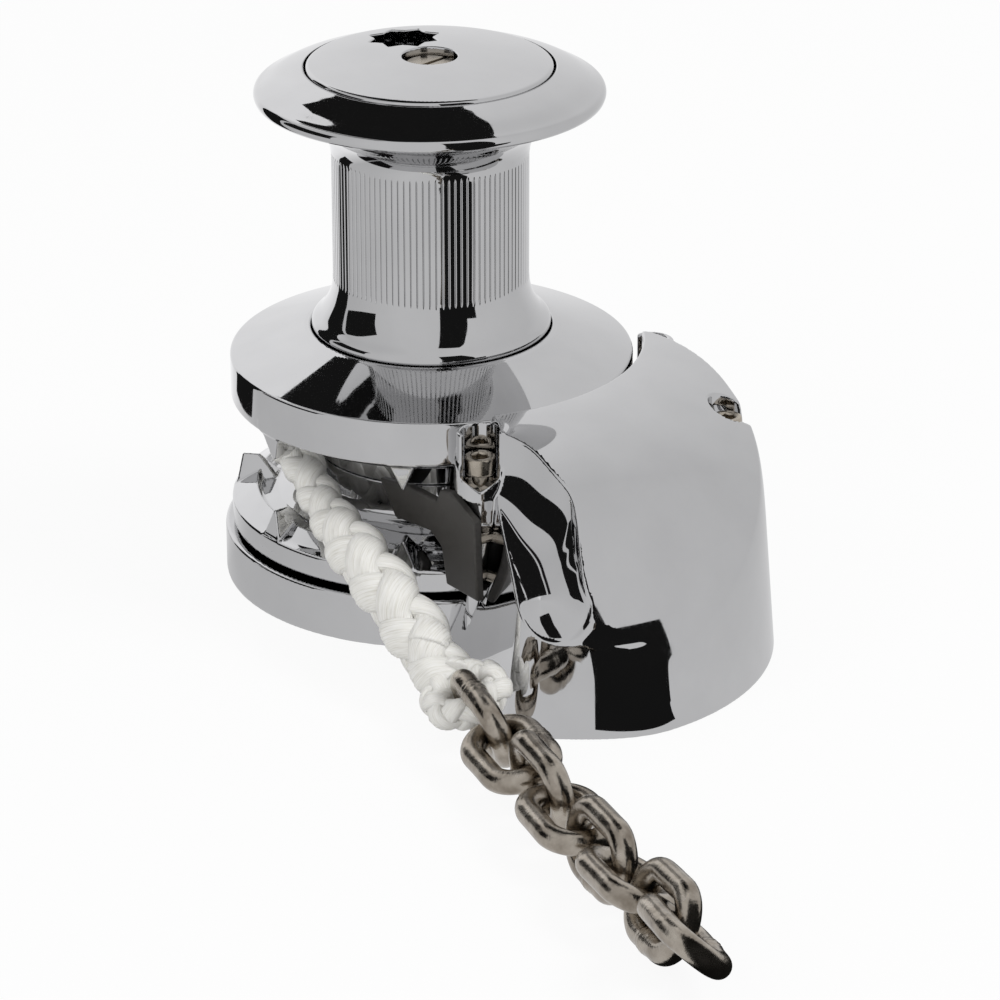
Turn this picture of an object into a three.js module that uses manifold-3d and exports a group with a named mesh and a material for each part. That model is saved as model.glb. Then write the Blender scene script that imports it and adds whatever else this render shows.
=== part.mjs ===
import * as THREE from 'three';
import { mergeVertices } from 'three/addons/utils/BufferGeometryUtils.js';
import Module from 'manifold-3d';

const wasm = await Module();
wasm.setup();

// Units are millimetres. The main shaft's axis is the Z axis, the deck is z = 0 and the rode leaves toward -Y.

// General
const MERGE = 1e-4;
const OVERRUN = 3;
const GAP = 0.3;
const ROUND_SIDES = 48;
const SMALL_SIDES = 14;
const DEG = Math.PI / 180;

// Deck base
const BOSS_R = 70;
const BOSS_TOP = 17;
const PLATE_T = 6;
const PLATE_GAP = 0.5;
const SHAFT_BORE_R = 14.4;
const RODE_HOLE = [50, -92];
const RODE_HOLE_R = 19;
const LUG_R = 5.1;

// Chain pipe cover
const LOBE_AT = [5.2, -68.5];
const LOBE_R = 81.6;
const LOBE_STRETCH = 7;
const FACET_AT = [-13.3, -141.2];
const FACET_NORMAL = [-0.468, -0.8837];
const FACET_BLEND = 10;
const SIDE_FOOT_X = -27;
const SIDE_BOW_R = 500;
const SIDE_BOW_Y = -120;
const SIDE_AT = [-26.6, -134];
const SIDE_NORMAL = [-0.9825, 0.1862];
const SIDE_FLARE_TOP = 45;
const SIDE_BLEND = 7;
const WALL_LEAN = 4.7 * DEG;
const CROWN_Z = 82;
const CROWN_FLAT_R = 70;
const CROWN_ARC_R = 80;
const CROWN_BLEND = 14;
const COVER_WALL = 4.2;
const COVER_ROOF = 4;
const POCKET_R = 70.5;
const POCKET_SIDES = 80;
const LOFT_AT = [15, -58];
const LOFT_POINTS = 60;
const LOFT_REACH = 140;
const OUTER_LEVELS = [0, 12, 24, 36, 48, 58, 66, 72, 76, 79, 81, 81.9];
const INNER_LEVELS = [-3, 8, 22, 42, 58, 69, 75, 77.6];
const EAR_R = 7.5;
const EAR_OUTLINE = [[0, 44], [4.5, 44], [EAR_R, 56], [EAR_R, 80.6], [0, 80.6]];
const POST_R = 6.4;
const POST_TOP = 30;
const POST_SPLIT = 1;

// Swept front: y, ridge x and z on the side face, trough x and z, edge x and z on the dome
const SWEEP = [
  [-79, -19, 58.5, -14.5, 61.5, -12, 82],
  [-84, -19, 56, -14.5, 60.5, -8.5, 80.5],
  [-90.8, -20, 52, -15, 57.5, -4.4, 79.1],
  [-102.9, -22, 46, -16, 52.5, -0.9, 74.8],
  [-114.1, -23.5, 43, -17, 47.6, 1.8, 68.6],
  [-120, -24.5, 41.4, -17.5, 44.8, 0.7, 64.4],
  [-129.5, -25.5, 39.6, -18, 39.3, -2, 55.2],
  [-133.6, -26, 38.6, -17.5, 35.6, -2.7, 50.2],
  [-137.5, -27, 37, -16, 32.4, -2, 44.9],
  [-142, -28, 34, -14, 30.4, 1.8, 36.6],
  [-143.6, -29, 33, -12, 30.2, 12.4, 31.9],
  [-144.8, -30, 32, -10, 30, 25, 30.2],
  [-153, -32, 31, -8, 29.6, 34, 29.8],
];
const SWEEP_ARC_STEPS = 5;
const SWEEP_RIDGE_SHARE = 0.45;
const SWEEP_RIDGE_RISE = 0.75;

// Cover screws: place, head top height, head radius and shank radius
const EAR_SCREW = { at: [-14.3, -77.6], top: 72, head: 5, shank: 3, foot: 5 };
const SIDE_SCREW = { at: [73.5, -75.3], top: 70.6, head: 5, shank: 3, foot: 18 };
const BACK_SCREW = { at: [71.8, -19.5], top: 71, head: 4.25, shank: 2.5, foot: 8 };
const HEAD_H = 6;
const HEX_ACROSS_SHARE = 0.5;
const HEX_DEPTH_SHARE = 0.55;
const RECESS_CLEAR = 1.2;
const SHANK_CLEAR = 0.4;
const THREAD_CLEAR = 0.3;
const SIDE_NOTCH_REACH = 16;
const SIDE_NOTCH_DIR = [0.98, -0.2];

// Stripper: outline as distance along the blade and height
const STRIPPER_FROM = [-32, -30];
const STRIPPER_TO = [-20, -90];
const STRIPPER_T = 3;
const STRIPPER_OUTLINE = [
  [2.2, 48.6], [20, 52.2], [36.5, 53.2], [38.6, 57.6], [44.3, 59], [58.7, 53.6],
  [60.3, 26.4], [42.2, 25.7], [39.4, 37.8], [32.9, 41], [11.8, 38],
];
const STRIPPER_SEAT = [[36, 24.6], [61.6, 24.6], [61.6, 57], [44.5, 61.4], [36, 59]];
const STRIPPER_SCREW_S = 56.5;
const STRIPPER_SCREW_Z = [33, 46];
const STRIPPER_SCREW_R = 1.7;
const STRIPPER_SCREW_HEAD_R = 3.2;
const STRIPPER_SCREW_HEAD_H = 2.2;
const STRIPPER_SCREW_GRIP = 5;
const STRIPPER_BITE = 2.2;

// Gypsy
const GYPSY_SPLIT = 45;
const CORE_R = 39.8;
const RIM_LOW_R = 67.5;
const RIM_LOW_Z = [18.8, 26];
const RIM_HIGH_R = 67.3;
const RIM_HIGH_Z = [64, 78];
const RING_TOP = 87;
const RING_LIP_R = 41.3;
const FLOOR = [[66.4, 26], [56, 28], [48, 30.5], [41.5, 32.6], [39.8, 34.5]];
const WEB_Z = [34.6, 62];
const BORE_R = 15;
const TEETH = 8;
const TOOTH_AT = 15;
const TOOTH_HALF = 4 * DEG;
const TOOTH_CREST = 1 * DEG;
const TOOTH_FOOT_SHARE = 0.2;
const TOOTH_OUTLINE = [[67, 23], [66.4, 26], [65, 36], [59, 36], [53, 29.5], [53, 23]];
const LOW_CONE = { r0: 36, r1: 30, z0: 18.8, z1: 34 };
const HIGH_CONE = { r0: 33, r1: 39.8, z0: 64, z1: 87.5 };
const CONE_GAP = 0.4;
const GYPSY_SCREW_AT = 23;
const GYPSY_SCREW = { head: 4.25, headH: 5, shank: 2.5, top: 61, foot: 38 };

// Drum
const DRUM_FOOT = [[39.8, 87.5], [39.6, 89.4], [36.6, 92.6], [34.2, 96.6], [32.9, 101], [32.5, 105]];
const DRUM_NECK = [[32.5, 147], [33.2, 151], [35.6, 155.2], [40, 159.2], [47, 163.2], [55, 165.6]];
const DRUM_EDGE = [[57.1, 166.5], [57.5, 168], [56.9, 169.6], [55, 170.7]];
const DRUM_CROWN = [[50, 173.4], [45, 175.3], [41, 176.6]];
const DRUM_HUB_R = 16;
const DRUM_HUB_FOOT = 64;
const DRUM_SHELL_R = 27.5;
const DRUM_SHELL_TOP = 146;
const DRUM_BORE_R = 11.35;
const DRUM_SEAT_Z = 160;
const DRUM_SEAT_R = 37.6;
const DRUM_LEDGE_Z = 169.6;
const RIB_COUNT = 36;
const RIB_DEPTH = 0.5;

// Clutch cap
const CAP_R = 40.5;
const CAP_TOP = [[9, 179.9], [20, 179.6], [30, 178.8], [37, 177.9], [39.6, 177.2], [40.5, 176]];
const CAP_FLOAT = 0.6;
const CAP_LEDGE_Z = DRUM_LEDGE_Z + CAP_FLOAT;
const CAP_BOSS_R = 37.2;
const CAP_FOOT = DRUM_SEAT_Z + CAP_FLOAT;
const CAP_BORE_R = 8.3;
const CAP_COUNTERBORE_Z = 170;
const STAR_AT = [0, 23];
const STAR_POINTS = 8;
const STAR_R = 12.2;
const STAR_VALLEY_R = 9.4;
const STAR_FLOOR = 163.4;
const CENTRE_SCREW = { head: 8, headZ: 173.4, headTop: 177.5, shank: 3, foot: 152, slot: 2, slotH: 1.6 };
const CENTRE_WASHER = { r: 8.6, z0: 171.7, z1: 173.1 };

// Shaft
const SHAFT_R = 11;
const SHAFT_Z = [0.6, 150];
const THREAD_R = 8;
const THREAD_TOP = 171.4;
const BUSH = { r0: 11.3, r1: 14.1, z0: 0.6, z1: 12.9 };
const SEAL = { r0: 11.3, r1: 14.1, z0: 13.2, z1: 16.7 };
const THRUST = { r0: 11.4, r1: 22, z0: 17.3, z1: 18.4 };
const GYPSY_BUSH = { r0: 11.3, r1: 14.7, z0: 34.9, z1: 61.7 };
const KEY_HALF = 2.5;
const KEY_R = [8.6, 13.6];
const LOW_KEY_Z = [20, 33];
const HIGH_KEY_Z = [70, 110];

// Pressure arm
const ARM_AT = [62.5, -64];
const ARM_TIP = [58.9, -31];
const ARM_Z = [39.5, 50.5];
const ARM_HUB_R = 5.2;
const ARM_TIP_R = 3.4;
const ARM_ARC_STEPS = 8;
const PIN_R = 2.5;
const PIN_CLEAR = 0.35;
const PIN_Z = [2, 62];
const PIN_POST_TOP = 39;
const CLIP = { r0: 2.9, r1: 5.2, z0: 60.6, z1: 61.8 };
const SPRING = { r: 4.3, wire: 0.7, z0: 51.6, z1: 59.6, turns: 4, leg: 9 };
const SPRING_STEPS = 44;
const SPRING_SIDES = 5;

// Rope and chain
const ROPE_R = 7;
const ROPE_Z = 45;
const WRAP_R = 47.5;
const WRAP_STEPS = 12;
const WRAP_RUN_IN = 2.3;
const ROPE_SIDES = 10;
const WRAP_POINTS = [
  [48, -30, 45], [48, -52, 45], [48.4, -66, 42.2], [48.9, -77, 35], [49.5, -84.6, 24], [49.8, -87.6, 11], [49.9, -88, 0.4],
];
const LEAD_POINTS = [
  [-47.5, -0.3, 45], [-47.5, -2, 45], [-47.5, -9, 42.6], [-47.5, -19, 38.8], [-47.5, -33, 36], [-47.4, -47, 34.2],
  [-46.8, -63.3, 31.8], [-45.1, -77.1, 28], [-43, -92, 22.4], [-41.6, -103.4, 17.4],
];
const LEAD_STEPS = 26;
const EYE_R = 9.3;
const EYE_SECTION_R = 4.7;
const EYE_STEPS = 20;
const EYE_SIDES = 10;
const NECK_POINTS = [[-41.43, -104.3, 17.04], [-41, -108.5, 15.7], [-40.1, -117.5, 15.4]];
const NECK_R = [8.2, 9, 6.6];
const LINK_WIRE_R = 4;
const LINK_BEND_R = 9.5;
const LINK_STRAIGHT = 6.5;
const LINK_BEND_STEPS = 8;
const LINK_SIDES = 8;
// Each link's centre, and its turn about its own length in degrees
const LINKS = [
  [-40.1, -143.7, 14.2, 110], [-40.8, -167.2, 13.1, 16], [-39.8, -188.6, 13.6, 96], [-40.9, -211, 12.5, -2],
  [-40.3, -233.9, 13.5, 80], [-40.4, -253.9, 12.9, -22], [-40.1, -276.8, 15.2, 66], [-42.2, -295.9, 17.7, -42],
];

// Solids
const rootOfUnity = (angle) => [Math.cos(angle), Math.sin(angle)];

function flat(geometry) {
  const bare = geometry.index ? geometry.toNonIndexed() : geometry.clone();
  bare.deleteAttribute('normal');
  bare.deleteAttribute('uv');
  return mergeVertices(bare, MERGE);
}

function faceVolume(at, i, j, k) {
  const a = new THREE.Vector3().fromBufferAttribute(at, i);
  const b = new THREE.Vector3().fromBufferAttribute(at, j);
  const c = new THREE.Vector3().fromBufferAttribute(at, k);
  return a.dot(b.cross(c));
}

function solid(geometry) {
  const merged = flat(geometry);
  const at = merged.getAttribute('position');
  const faces = [];
  let volume = 0;
  for (let f = 0; f < merged.index.count; f += 3) {
    const [i, j, k] = [merged.index.getX(f), merged.index.getX(f + 1), merged.index.getX(f + 2)];
    if (i === j || j === k || k === i) continue;
    faces.push([i, j, k]);
    volume += faceVolume(at, i, j, k);
  }
  const turned = volume < 0 ? faces.map(([i, j, k]) => [i, k, j]) : faces;
  return new wasm.Manifold(new wasm.Mesh({
    numProp: 3,
    vertProperties: new Float32Array(at.array),
    triVerts: new Uint32Array(turned.flat()),
  }));
}

const group = new THREE.Group();

function part(name, body) {
  const made = body.getMesh();
  const geometry = new THREE.BufferGeometry();
  geometry.setAttribute('position', new THREE.BufferAttribute(new Float32Array(made.vertProperties), 3));
  geometry.setIndex(new THREE.BufferAttribute(new Uint32Array(made.triVerts), 1));
  const mesh = new THREE.Mesh(geometry);
  mesh.name = name;
  group.add(mesh);
  return body;
}

function turned(points, sides = ROUND_SIDES) {
  const profile = [...points, points[0]].map(([r, z]) => new THREE.Vector2(r, z));
  const geometry = new THREE.LatheGeometry(profile, sides);
  geometry.rotateX(Math.PI / 2);
  return solid(geometry);
}

function disc(r, z0, z1, [x, y] = [0, 0], sides = SMALL_SIDES) {
  const geometry = new THREE.CylinderGeometry(r, r, z1 - z0, sides);
  geometry.rotateX(Math.PI / 2);
  geometry.translate(x, y, (z0 + z1) / 2);
  return solid(geometry);
}

function washer({ r0, r1, z0, z1 }, at = [0, 0], sides = ROUND_SIDES) {
  return disc(r1, z0, z1, at, sides).subtract(disc(r0, z0 - OVERRUN, z1 + OVERRUN, at, sides));
}

function prism(outline, z0, z1) {
  const shape = new THREE.Shape(outline.map(([x, y]) => new THREE.Vector2(x, y)));
  const geometry = new THREE.ExtrudeGeometry(shape, { depth: z1 - z0, bevelEnabled: false });
  geometry.translate(0, 0, z0);
  return solid(geometry);
}

function block(x0, x1, y0, y1, z0, z1) {
  const geometry = new THREE.BoxGeometry(x1 - x0, y1 - y0, z1 - z0);
  geometry.translate((x0 + x1) / 2, (y0 + y1) / 2, (z0 + z1) / 2);
  return solid(geometry);
}

const regular = (count, r, [x, y], phase = 0) => Array.from({ length: count }, (_, i) => {
  const [c, s] = rootOfUnity(phase + (2 * Math.PI * i) / count);
  return [x + r * c, y + r * s];
});

const united = (bodies) => bodies.reduce((whole, body) => whole.add(body));

// Closed rings of points, joined in order and capped at both ends
function loft(rings) {
  const size = rings[0].length;
  const points = rings.flat(2);
  const faces = [];
  rings.slice(1).forEach((_, k) => {
    for (let i = 0; i < size; i += 1) {
      const [a, b] = [k * size + i, k * size + ((i + 1) % size)];
      faces.push(a, b, b + size, a, b + size, a + size);
    }
  });
  return { points, faces, size };
}

function geometryOf(points, faces) {
  const geometry = new THREE.BufferGeometry();
  geometry.setAttribute('position', new THREE.Float32BufferAttribute(points, 3));
  geometry.setIndex(faces);
  return geometry;
}

function capFaces(outline, start, reverse) {
  const shape = outline.map(([u, v]) => new THREE.Vector2(u, v));
  return THREE.ShapeUtils.triangulateShape(shape, []).flatMap(([i, j, k]) => (
    reverse ? [start + i, start + k, start + j] : [start + i, start + j, start + k]));
}

// A loft whose rings each lie in one plane: pick gives a ring point's place in that plane
function planarLoft(rings, pick) {
  const { points, faces, size } = loft(rings);
  const outline = rings.map((ring) => ring.map(pick));
  const last = rings.length - 1;
  const area = (ring) => THREE.ShapeUtils.area(ring.map(([u, v]) => new THREE.Vector2(u, v)));
  const start = capFaces(outline[0], 0, area(outline[0]) > 0);
  const end = capFaces(outline[last], last * size, area(outline[last]) < 0);
  return solid(geometryOf(points, [...faces, ...start, ...end]));
}

function ringTube(frames, radii, sides, closed) {
  const rings = frames.map(({ at, side, up }, k) => Array.from({ length: sides }, (_, i) => {
    const [c, s] = rootOfUnity((2 * Math.PI * i) / sides);
    return at.clone().addScaledVector(side, radii[k] * c).addScaledVector(up, radii[k] * s).toArray();
  }));
  const count = closed ? rings.length : rings.length - 1;
  const faces = [];
  for (let k = 0; k < count; k += 1) {
    const next = ((k + 1) % rings.length) * sides;
    for (let i = 0; i < sides; i += 1) {
      const j = (i + 1) % sides;
      faces.push(k * sides + i, k * sides + j, next + j, k * sides + i, next + j, next + i);
    }
  }
  const fan = (start, reverse) => {
    for (let i = 1; i < sides - 1; i += 1) {
      faces.push(start, ...(reverse ? [start + i + 1, start + i] : [start + i, start + i + 1]));
    }
  };
  if (!closed) {
    fan(0, true);
    fan((rings.length - 1) * sides, false);
  }
  return solid(geometryOf(rings.flat(2), faces));
}

function curveFrames(points, steps) {
  const curve = new THREE.CatmullRomCurve3(points.map((p) => new THREE.Vector3(...p)));
  const { normals, binormals } = curve.computeFrenetFrames(steps, false);
  return Array.from({ length: steps + 1 }, (_, k) => (
    { at: curve.getPointAt(k / steps), side: normals[k], up: binormals[k] }));
}

function rope(points, radius, steps, sides) {
  const frames = curveFrames(points, steps);
  return ringTube(frames, frames.map(() => radius), sides, false);
}

// Form of the cover, as heights over the plan
const smoothMin = (a, b, blend) => {
  const h = Math.min(1, Math.max(0, 0.5 + (0.5 * (b - a)) / blend));
  return b * (1 - h) + a * h - blend * h * (1 - h);
};

const lineDistance = ([x, y], [px, py], [nx, ny]) => -((x - px) * nx + (y - py) * ny);

function lobeDistance([x, y]) {
  const along = y - LOBE_AT[1];
  const bent = along > 0 ? Math.max(along - LOBE_STRETCH, 0) : along;
  return LOBE_R - Math.hypot(x - LOBE_AT[0], bent);
}

function sideDistance(at, z) {
  const share = Math.max(0, 1 - z / SIDE_FLARE_TOP) ** 2;
  const foot = SIDE_BOW_R - Math.hypot(at[0] - SIDE_FOOT_X - SIDE_BOW_R, at[1] - SIDE_BOW_Y);
  return share * foot + (1 - share) * lineDistance(at, SIDE_AT, SIDE_NORMAL);
}

function coverHeight(at, z, wall, roof) {
  const front = smoothMin(lobeDistance(at), lineDistance(at, FACET_AT, FACET_NORMAL), FACET_BLEND);
  const inset = smoothMin(front, sideDistance(at, z), SIDE_BLEND) - wall;
  const fall = Math.max(Math.hypot(...at) - CROWN_FLAT_R, 0);
  const crown = CROWN_Z - CROWN_ARC_R + Math.sqrt(CROWN_ARC_R ** 2 - Math.min(fall, CROWN_ARC_R) ** 2) - roof;
  return smoothMin(inset / Math.tan(WALL_LEAN), crown, CROWN_BLEND);
}

function levelPoint(angle, z, wall, roof) {
  const [c, s] = rootOfUnity(angle);
  const at = (reach) => [LOFT_AT[0] + c * reach, LOFT_AT[1] + s * reach];
  let [inside, outside] = [0, LOFT_REACH];
  while (outside - inside > MERGE) {
    const middle = (inside + outside) / 2;
    if (coverHeight(at(middle), z, wall, roof) >= z) inside = middle;
    else outside = middle;
  }
  return [...at(inside), z];
}

function levelRing(z, wall, roof) {
  return Array.from({ length: LOFT_POINTS }, (_, i) => (
    levelPoint((2 * Math.PI * i) / LOFT_POINTS, z, wall, roof)));
}

const levelLoft = (levels, wall, roof) => (
  planarLoft(levels.map((z) => levelRing(z, wall, roof)), ([x, y]) => [x, y]));

// Room cut away over the swept front; skin moves it into the metal for the hollow's own surface
function sweepStation([y, ridgeX, ridgeZ, troughX, troughZ, edgeX, edgeZ], skin) {
  const far = -LOFT_REACH;
  const high = CROWN_Z + LOBE_R;
  const points = [[far, ridgeZ - skin], [ridgeX - OVERRUN, ridgeZ - skin]];
  const [dx, dz] = [troughX - ridgeX, troughZ - ridgeZ];
  points.push([ridgeX + dx * SWEEP_RIDGE_SHARE, ridgeZ + dz * SWEEP_RIDGE_RISE - skin]);
  for (let k = 0; k <= SWEEP_ARC_STEPS; k += 1) {
    const [c, s] = rootOfUnity((Math.PI / 2) * (k / SWEEP_ARC_STEPS));
    points.push([
      troughX + (edgeX - troughX) * s + skin * s,
      troughZ + (edgeZ - troughZ) * (1 - c) - skin * c,
    ]);
  }
  points.push([edgeX + skin, high], [far, high]);
  return points.map(([x, z]) => [x, y, z]);
}

const sweepRoom = (skin) => planarLoft(
  SWEEP.map(([y, ...rest], k) => sweepStation([k === 0 ? y + skin : y, ...rest], skin)),
  ([x, , z]) => [x, z],
);

// Cover, its screws and the stripper
const COVER_SCREWS = { ear: EAR_SCREW, side: SIDE_SCREW, back: BACK_SCREW };

const screwRecess = ({ at, top, head }) => disc(head + RECESS_CLEAR, top - HEAD_H - GAP, CROWN_Z + OVERRUN, at);

const screwHole = ({ at, top, shank }) => disc(shank + SHANK_CLEAR, -OVERRUN, top, at);

function socketScrew({ at, top, head, shank, foot }) {
  const socket = prism(regular(6, head * HEX_ACROSS_SHARE, at), top - HEAD_H * HEX_DEPTH_SHARE, top + OVERRUN);
  return disc(head, top - HEAD_H, top, at).add(disc(shank, foot, top - HEAD_H / 2, at)).subtract(socket);
}

const bladeLength = Math.hypot(STRIPPER_TO[0] - STRIPPER_FROM[0], STRIPPER_TO[1] - STRIPPER_FROM[1]);
const bladeDir = [0, 1].map((k) => (STRIPPER_TO[k] - STRIPPER_FROM[k]) / bladeLength);
const bladeNormal = [-bladeDir[1], bladeDir[0]];
const bladePoint = (s, t, z) => [
  STRIPPER_FROM[0] + bladeDir[0] * s + bladeNormal[0] * t,
  STRIPPER_FROM[1] + bladeDir[1] * s + bladeNormal[1] * t,
  z,
];

const bladePrism = (outline, t0, t1) => planarLoft(
  [t0, t1].map((t) => outline.map(([s, z]) => bladePoint(s, t, z))),
  ([x, y, z]) => [(x - STRIPPER_FROM[0]) * bladeDir[0] + (y - STRIPPER_FROM[1]) * bladeDir[1], z],
);

const bladeDisc = (r, z, t0, t1) => bladePrism(regular(SMALL_SIDES, r, [STRIPPER_SCREW_S, z]), t0, t1);

function cover() {
  const ears = [
    turned(EAR_OUTLINE, SMALL_SIDES).translate([...EAR_SCREW.at, 0]),
    disc(EAR_R, 0, BACK_SCREW.top + HEAD_H, BACK_SCREW.at),
  ];
  const posts = Object.values(COVER_SCREWS).map(({ at }) => disc(POST_R, POST_TOP + POST_SPLIT, CROWN_Z, at));
  const shell = united([levelLoft(OUTER_LEVELS, 0, 0), ...ears]);
  const hollow = levelLoft(INNER_LEVELS, COVER_WALL, COVER_ROOF).subtract(sweepRoom(COVER_WALL));
  return shell.subtract(hollow.subtract(united(posts))).subtract(sweepRoom(0));
}

function coverCuts() {
  const [nx, ny] = SIDE_NOTCH_DIR;
  const { at: [sx, sy], top, head } = SIDE_SCREW;
  const notch = disc(head, top - HEAD_H + GAP, CROWN_Z, [sx + nx * SIDE_NOTCH_REACH / 2, sy + ny * SIDE_NOTCH_REACH / 2]);
  return [
    disc(POCKET_R, -OVERRUN, CROWN_Z + OVERRUN, [0, 0], POCKET_SIDES),
    disc(LUG_R + GAP, -OVERRUN, BOSS_TOP + GAP, EAR_SCREW.at),
    ...[SIDE_SCREW, BACK_SCREW].map(({ at }) => disc(POST_R + PLATE_GAP, -OVERRUN, POST_TOP + GAP, at)),
    bladePrism(STRIPPER_SEAT, -OVERRUN * 2, STRIPPER_T + GAP),
    notch,
    ...Object.values(COVER_SCREWS).flatMap((screw) => [screwRecess(screw), screwHole(screw)]),
    ...STRIPPER_SCREW_Z.flatMap((z) => [
      bladeDisc(STRIPPER_SCREW_R + GAP, z, STRIPPER_T - OVERRUN, STRIPPER_T + STRIPPER_SCREW_GRIP + OVERRUN),
      bladeDisc(STRIPPER_SCREW_HEAD_R + GAP, z, STRIPPER_T + STRIPPER_SCREW_GRIP - GAP, STRIPPER_T + LOBE_R / 4),
    ]),
  ];
}

part('chain_pipe_cover', coverCuts().reduce((body, cut) => body.subtract(cut), cover()));
Object.entries(COVER_SCREWS).forEach(([name, screw]) => part(`cover_screw_${name}`, socketScrew(screw)));

const bladeHoles = STRIPPER_SCREW_Z.map((z) => bladeDisc(STRIPPER_SCREW_R + GAP, z, STRIPPER_T - STRIPPER_BITE - GAP, STRIPPER_T + OVERRUN));
part('stripper', bladePrism(STRIPPER_OUTLINE, 0, STRIPPER_T).subtract(united(bladeHoles)));
STRIPPER_SCREW_Z.forEach((z, k) => part(
  `stripper_screw_${k + 1}`,
  bladeDisc(STRIPPER_SCREW_R, z, STRIPPER_T - STRIPPER_BITE, STRIPPER_T + STRIPPER_SCREW_GRIP + GAP)
    .add(bladeDisc(STRIPPER_SCREW_HEAD_R, z, STRIPPER_T + STRIPPER_SCREW_GRIP, STRIPPER_T + STRIPPER_SCREW_GRIP + STRIPPER_SCREW_HEAD_H)),
));

// Deck base
function deckBase() {
  const outline = levelRing(PLATE_T, COVER_WALL + PLATE_GAP, 0).map(([x, y]) => [x, y]);
  const bodies = [
    disc(BOSS_R, 0, BOSS_TOP, [0, 0], ROUND_SIDES),
    prism(outline, 0, PLATE_T),
    disc(LUG_R, 0, BOSS_TOP, EAR_SCREW.at),
    disc(POST_R, 0, POST_TOP, SIDE_SCREW.at),
    disc(POST_R, 0, POST_TOP, BACK_SCREW.at),
    disc(ARM_HUB_R, 0, PIN_POST_TOP, ARM_AT),
  ];
  const cuts = [
    disc(SHAFT_BORE_R, -OVERRUN, BOSS_TOP + OVERRUN, [0, 0], ROUND_SIDES),
    disc(RODE_HOLE_R, -OVERRUN, PLATE_T + OVERRUN, RODE_HOLE, ROUND_SIDES / 2),
    disc(PIN_R + GAP, PIN_Z[0] - GAP, PIN_POST_TOP + OVERRUN, ARM_AT),
    ...Object.values(COVER_SCREWS).map(({ at, shank, foot }) => (
      disc(shank + THREAD_CLEAR, foot - GAP, POST_TOP + OVERRUN, at))),
  ];
  return cuts.reduce((body, cut) => body.subtract(cut), united(bodies));
}

part('deck_base', deckBase());

// Shaft and its bearings
const keyBlock = ([z0, z1], grow) => block(KEY_R[0] - grow, KEY_R[1] + grow, -KEY_HALF - grow, KEY_HALF + grow, z0 - grow, z1 + grow);

part('main_shaft', turned([
  [0, SHAFT_Z[0]], [SHAFT_R, SHAFT_Z[0]], [SHAFT_R, SHAFT_Z[1]], [THREAD_R, SHAFT_Z[1]], [THREAD_R, THREAD_TOP], [0, THREAD_TOP],
], ROUND_SIDES / 2)
  .subtract(keyBlock(LOW_KEY_Z, GAP))
  .subtract(keyBlock(HIGH_KEY_Z, GAP))
  .subtract(disc(CENTRE_SCREW.shank + GAP, CENTRE_SCREW.foot - GAP, THREAD_TOP + OVERRUN)));
part('shaft_bush', washer(BUSH, [0, 0], ROUND_SIDES / 2));
part('shaft_seal', washer(SEAL, [0, 0], ROUND_SIDES / 2));
part('thrust_washer', washer(THRUST, [0, 0], ROUND_SIDES / 2));
part('low_key', keyBlock(LOW_KEY_Z, 0));
part('drum_key', keyBlock(HIGH_KEY_Z, 0));

// Gypsy
const mirrored = (points) => points.map(([r, z]) => [r, 2 * GYPSY_SPLIT - z]);

const spun = (body, angle) => body.rotate([0, 0, angle / DEG]);

// One tooth: a radial outline at its crest, sunk into the floor at its two feet
function tooth(outline) {
  const foot = outline[0][1];
  const ring = ([angle, share]) => outline.map(([r, z]) => (
    [r * Math.cos(angle), r * Math.sin(angle), foot + (z - foot) * share]));
  const sections = [
    [-TOOTH_HALF, TOOTH_FOOT_SHARE], [-TOOTH_CREST, 1], [TOOTH_CREST, 1], [TOOTH_HALF, TOOTH_FOOT_SHARE],
  ];
  return planarLoft(sections.map(ring), ([x, y, z]) => [Math.hypot(x, y), z]);
}

const teeth = (outline) => united(Array.from({ length: TEETH }, (_, i) => (
  spun(tooth(outline), (TOOTH_AT + (360 / TEETH) * i) * DEG))));

const gypsyScrewPlaces = regular(4, GYPSY_SCREW_AT, [0, 0], Math.PI / 4);

function gypsyLower() {
  const profile = [
    [BORE_R, WEB_Z[0]],
    [LOW_CONE.r1 + CONE_GAP, WEB_Z[0]],
    [LOW_CONE.r0 + CONE_GAP, RIM_LOW_Z[0]],
    [RIM_LOW_R, RIM_LOW_Z[0]],
    [RIM_LOW_R, RIM_LOW_Z[1]],
    ...FLOOR,
    [CORE_R, GYPSY_SPLIT - GAP / 2],
    [BORE_R, GYPSY_SPLIT - GAP / 2],
  ];
  const holes = gypsyScrewPlaces.map((at) => disc(GYPSY_SCREW.shank + GAP, GYPSY_SCREW.foot - GAP, GYPSY_SPLIT + OVERRUN, at));
  return turned(profile).add(teeth(TOOTH_OUTLINE)).subtract(united(holes));
}

function gypsyUpper() {
  const profile = [
    [BORE_R, GYPSY_SPLIT + GAP / 2],
    [CORE_R, GYPSY_SPLIT + GAP / 2],
    ...mirrored(FLOOR).reverse(),
    [RIM_HIGH_R, RIM_HIGH_Z[0]],
    [RIM_HIGH_R, RIM_HIGH_Z[1]],
    [RING_LIP_R, RING_TOP],
    [HIGH_CONE.r1 + CONE_GAP, RING_TOP],
    [HIGH_CONE.r0 + CONE_GAP, HIGH_CONE.z0 - CONE_GAP],
    [DRUM_SHELL_R, HIGH_CONE.z0 - CONE_GAP],
    [DRUM_SHELL_R, WEB_Z[1]],
    [BORE_R, WEB_Z[1]],
  ];
  const { head, headH, shank, top } = GYPSY_SCREW;
  const holes = gypsyScrewPlaces.flatMap((at) => [
    disc(shank + GAP, GYPSY_SPLIT - OVERRUN, top, at),
    disc(head + GAP, top - headH - GAP, top + OVERRUN, at),
  ]);
  return turned(profile).add(teeth(mirrored(TOOTH_OUTLINE))).subtract(united(holes));
}

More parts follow.
